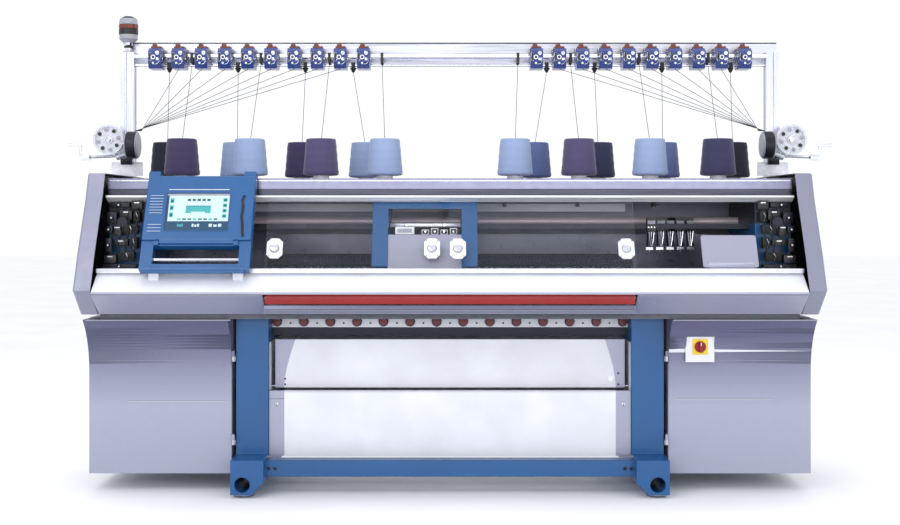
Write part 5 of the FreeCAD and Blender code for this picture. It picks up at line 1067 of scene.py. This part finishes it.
# ------------------------------------------------------------------ terminal
def terminal():
    ledge_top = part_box("front_ledge")[1].z

    def stand_face(centre, normal):
        local = SLOPE.inverted() @ centre
        if 0.078 < local.y < 0.0885 and abs(local.z) < 0.0065:
            return CHROME
        if centre.z < ledge_top + 0.0015:
            return WHITE
        return BLUE

    dressed("terminal_bracket", stand_face, 0.0012, "blue_paint")
    dressed("terminal_housing", BLUE, 0.0025, "blue_paint")
    keep("terminal_screen", SCREEN_WHITE)
    face = HOUSING_FACE
    inverse = SLOPE.inverted()
    corners = [inverse @ v.co for v in NODES["terminal_screen"].data.vertices]
    x0, x1 = min(c.x for c in corners), max(c.x for c in corners)
    y0, y1 = min(c.y for c in corners), max(c.y for c in corners)
    glass = max(c.z for c in corners)
    shape = Shape()

    def patch(material, xa, xb, ya, yb, lift=0.0003):
        """Patch of the display between shares of its width and height."""
        width, height = x1 - x0, y1 - y0
        shape.box(material, (x0 + width * xa, x0 + width * xb), (y0 + height * ya, y0 + height * yb),
                  (glass, glass + lift), 0, SLOPE)

    patch(SCREEN_DARK, 0.0, 1.0, 0.0, 0.25, 0.0002)
    patch(GREY_PLASTIC, 0.0, 1.0, 0.945, 1.0, 0.0002)
    patch(SCREEN_DARK, 0.0, 0.035, 0.25, 0.945, 0.00025)
    for k in range(3):
        y = 0.36 + 0.19 * k
        patch(SCREEN_TEAL, 0.055, 0.115, y, y + 0.13)
        patch(SCREEN_DEEP, 0.065, 0.105, y + 0.03, y + 0.09, 0.0005)
    for k in range(4):
        y = 0.34 + 0.145 * k
        patch(SCREEN_TEAL, 0.90, 0.965, y, y + 0.10)
        patch(SCREEN_DEEP, 0.912, 0.953, y + 0.025, y + 0.07, 0.0005)
    for k in range(5):
        x = 0.33 + 0.078 * k
        patch(SCREEN_DEEP, x, x + 0.052, 0.80, 0.855)
    patch(SCREEN_TEAL, 0.31, 0.71, 0.47, 0.66)
    patch(SCREEN_DEEP, 0.31, 0.71, 0.655, 0.67, 0.0005)
    patch(SCREEN_WHITE, 0.40, 0.62, 0.47, 0.505, 0.0006)
    for k in range(8):
        x = 0.19 + 0.083 * k
        patch(SCREEN_DEEP if k % 3 else SCREEN_TEAL, x, x + 0.058, 0.285, 0.325)
    for x, width, material in ((0.20, 0.10, SCREEN_TEAL), (0.43, 0.13, SCREEN_WHITE),
                               (0.70, 0.22, SCREEN_WHITE)):
        for k in range(3):
            patch(material, x + width * k / 3, x + width * (k + 0.7) / 3, 0.10, 0.18 - 0.02 * (k % 2), 0.0005)
    shape.made("screen_tiles", "terminal", "screen_glass")

    shape = Shape()
    housing = [inverse @ v.co for v in NODES["terminal_housing"].data.vertices]
    left, right = min(c.x for c in housing), max(c.x for c in housing)
    # Louvres: dark blue slots of painted shade, each with a white lip that is a painted highlight.
    for count, start, step in ((7, 0.270, 0.0128), (3, 0.190, 0.0145)):
        for k in range(count):
            y = start + step * k
            x = (left + 0.018, left + 0.070)
            shape.box(BLUE_PAINTED_SHADE, x, (y, y + 0.0042), (face, face + 0.0004), 0, SLOPE)
            shape.box(WHITE, x, (y + 0.0042, y + 0.0056), (face, face + 0.0007), 0, SLOPE)
    # White strip above the screen is a painted highlight, with a dark blue line of painted shade above it.
    shape.box(WHITE, (x0 + 0.004, x1 - 0.004), (y1 + 0.016, y1 + 0.0185), (face, face + 0.0006), 0, SLOPE)
    shape.box(BLUE_PAINTED_SHADE, (x0 - 0.004, x1 + 0.004), (y1 + 0.0185, y1 + 0.0205), (face, face + 0.0004), 0,
              SLOPE)
    slot_x = right - 0.042
    # Black wavy bar is painted shade, standing in for the dark gap between housing and upright.
    slot = ((0.004, 0.352), (-0.003, 0.330), (0.002, 0.300), (-0.002, 0.260), (0.004, 0.220), (0.006, 0.185),
            (0.010, 0.172))
    shape.path(BLACK, [SLOPE @ Vector((slot_x + dx, rise, face)) for dx, rise in slot], 0.0055)
    shape.box(DARK, (slot_x - 0.006, slot_x + 0.004), (0.285, 0.350), (face, face + 0.004), 0.0015, SLOPE)
    frame_edge = 0.005
    # Dark blue rim round the screen is painted shade at its edge.
    for xa, xb, ya, yb in ((x0 - frame_edge, x1 + frame_edge, y1, y1 + frame_edge),
                           (x0 - frame_edge, x1 + frame_edge, y0 - frame_edge, y0),
                           (x0 - frame_edge, x0, y0, y1), (x1, x1 + frame_edge, y0, y1)):
        shape.box(BLUE_PAINTED_SHADE, (xa, xb), (ya, yb), (face - 0.0005, face + 0.0009), 0.0004, SLOPE)
    shape.made("terminal_trim", "terminal", "blue_paint")


# ------------------------------------------------------------------ stage, light and camera
def stage():
    floor = Finish("floor_surface", Roughness=0.7)
    floor.colour(floor.ramp(floor.noise(1.5), (0.3, display(244, 244, 246)), (0.7, display(250, 250, 252))))
    floor.bump(floor.noise(60.0), 0.05, 0.0005)
    bm = bmesh.new()
    bmesh.ops.create_grid(bm, x_segments=8, y_segments=8, size=30.0)
    mesh = bpy.data.meshes.new("floor")
    bm.to_mesh(mesh)
    bm.free()
    mesh.materials.append(floor.material)
    piece = bpy.data.objects.new("floor", mesh)
    bpy.context.scene.collection.objects.link(piece)


def softbox(name, place, aim, size, power, colour=(1, 1, 1)):
    lamp_data = bpy.data.lights.new(name, "AREA")
    lamp_data.shape = "RECTANGLE"
    lamp_data.size, lamp_data.size_y = size
    lamp_data.energy = power
    lamp_data.color = colour
    light = bpy.data.objects.new(name, lamp_data)
    light.location = place
    light.rotation_euler = (Vector(aim) - Vector(place)).to_track_quat("-Z", "Y").to_euler()
    bpy.context.scene.collection.objects.link(light)


def lights():
    world = bpy.data.worlds.new("studio")
    bpy.context.scene.world = world
    world.use_nodes = True
    background = world.node_tree.nodes["Background"]
    background.inputs["Color"].default_value = (0.96, 0.97, 1.0, 1)
    background.inputs["Strength"].default_value = 1.06
    softbox("key", (-2.4, -4.2, 3.8), (0, 0, 0.9), (3.0, 2.2), 55)
    softbox("fill", (3.4, -4.0, 1.8), (0, 0, 0.8), (2.6, 2.6), 16)
    softbox("top", (0, -0.6, 4.6), (0, 0, 0.8), (5.0, 1.8), 40)
    softbox("inner", (0, -3.4, 1.25), (0, 0, 1.1), (4.2, 0.4), 26)
    softbox("back", (0, 3.2, 3.6), (0, 0.3, 1.2), (5.0, 1.6), 25)
    bpy.context.scene.view_settings.view_transform = "Standard"


def camera():
    eye = bpy.data.objects.new("camera", bpy.data.cameras.new("camera"))
    bpy.context.scene.collection.objects.link(eye)
    eye.location = (0.0, LOW.y - 5.0, 1.12)
    eye.rotation_euler = (math.radians(90), 0, 0)
    eye.data.sensor_width = 36
    eye.data.lens = 51.7
    eye.data.shift_y = -0.053
    bpy.context.scene.camera = eye


floor_frame()
bed_and_covers()
hoods()
rails()
carriage()
yarn_carriers()
take_down()
cabinets()
shelf_and_cones()
beam()
feeders()
rear_cover()
terminal()
stage()
lights()
camera()
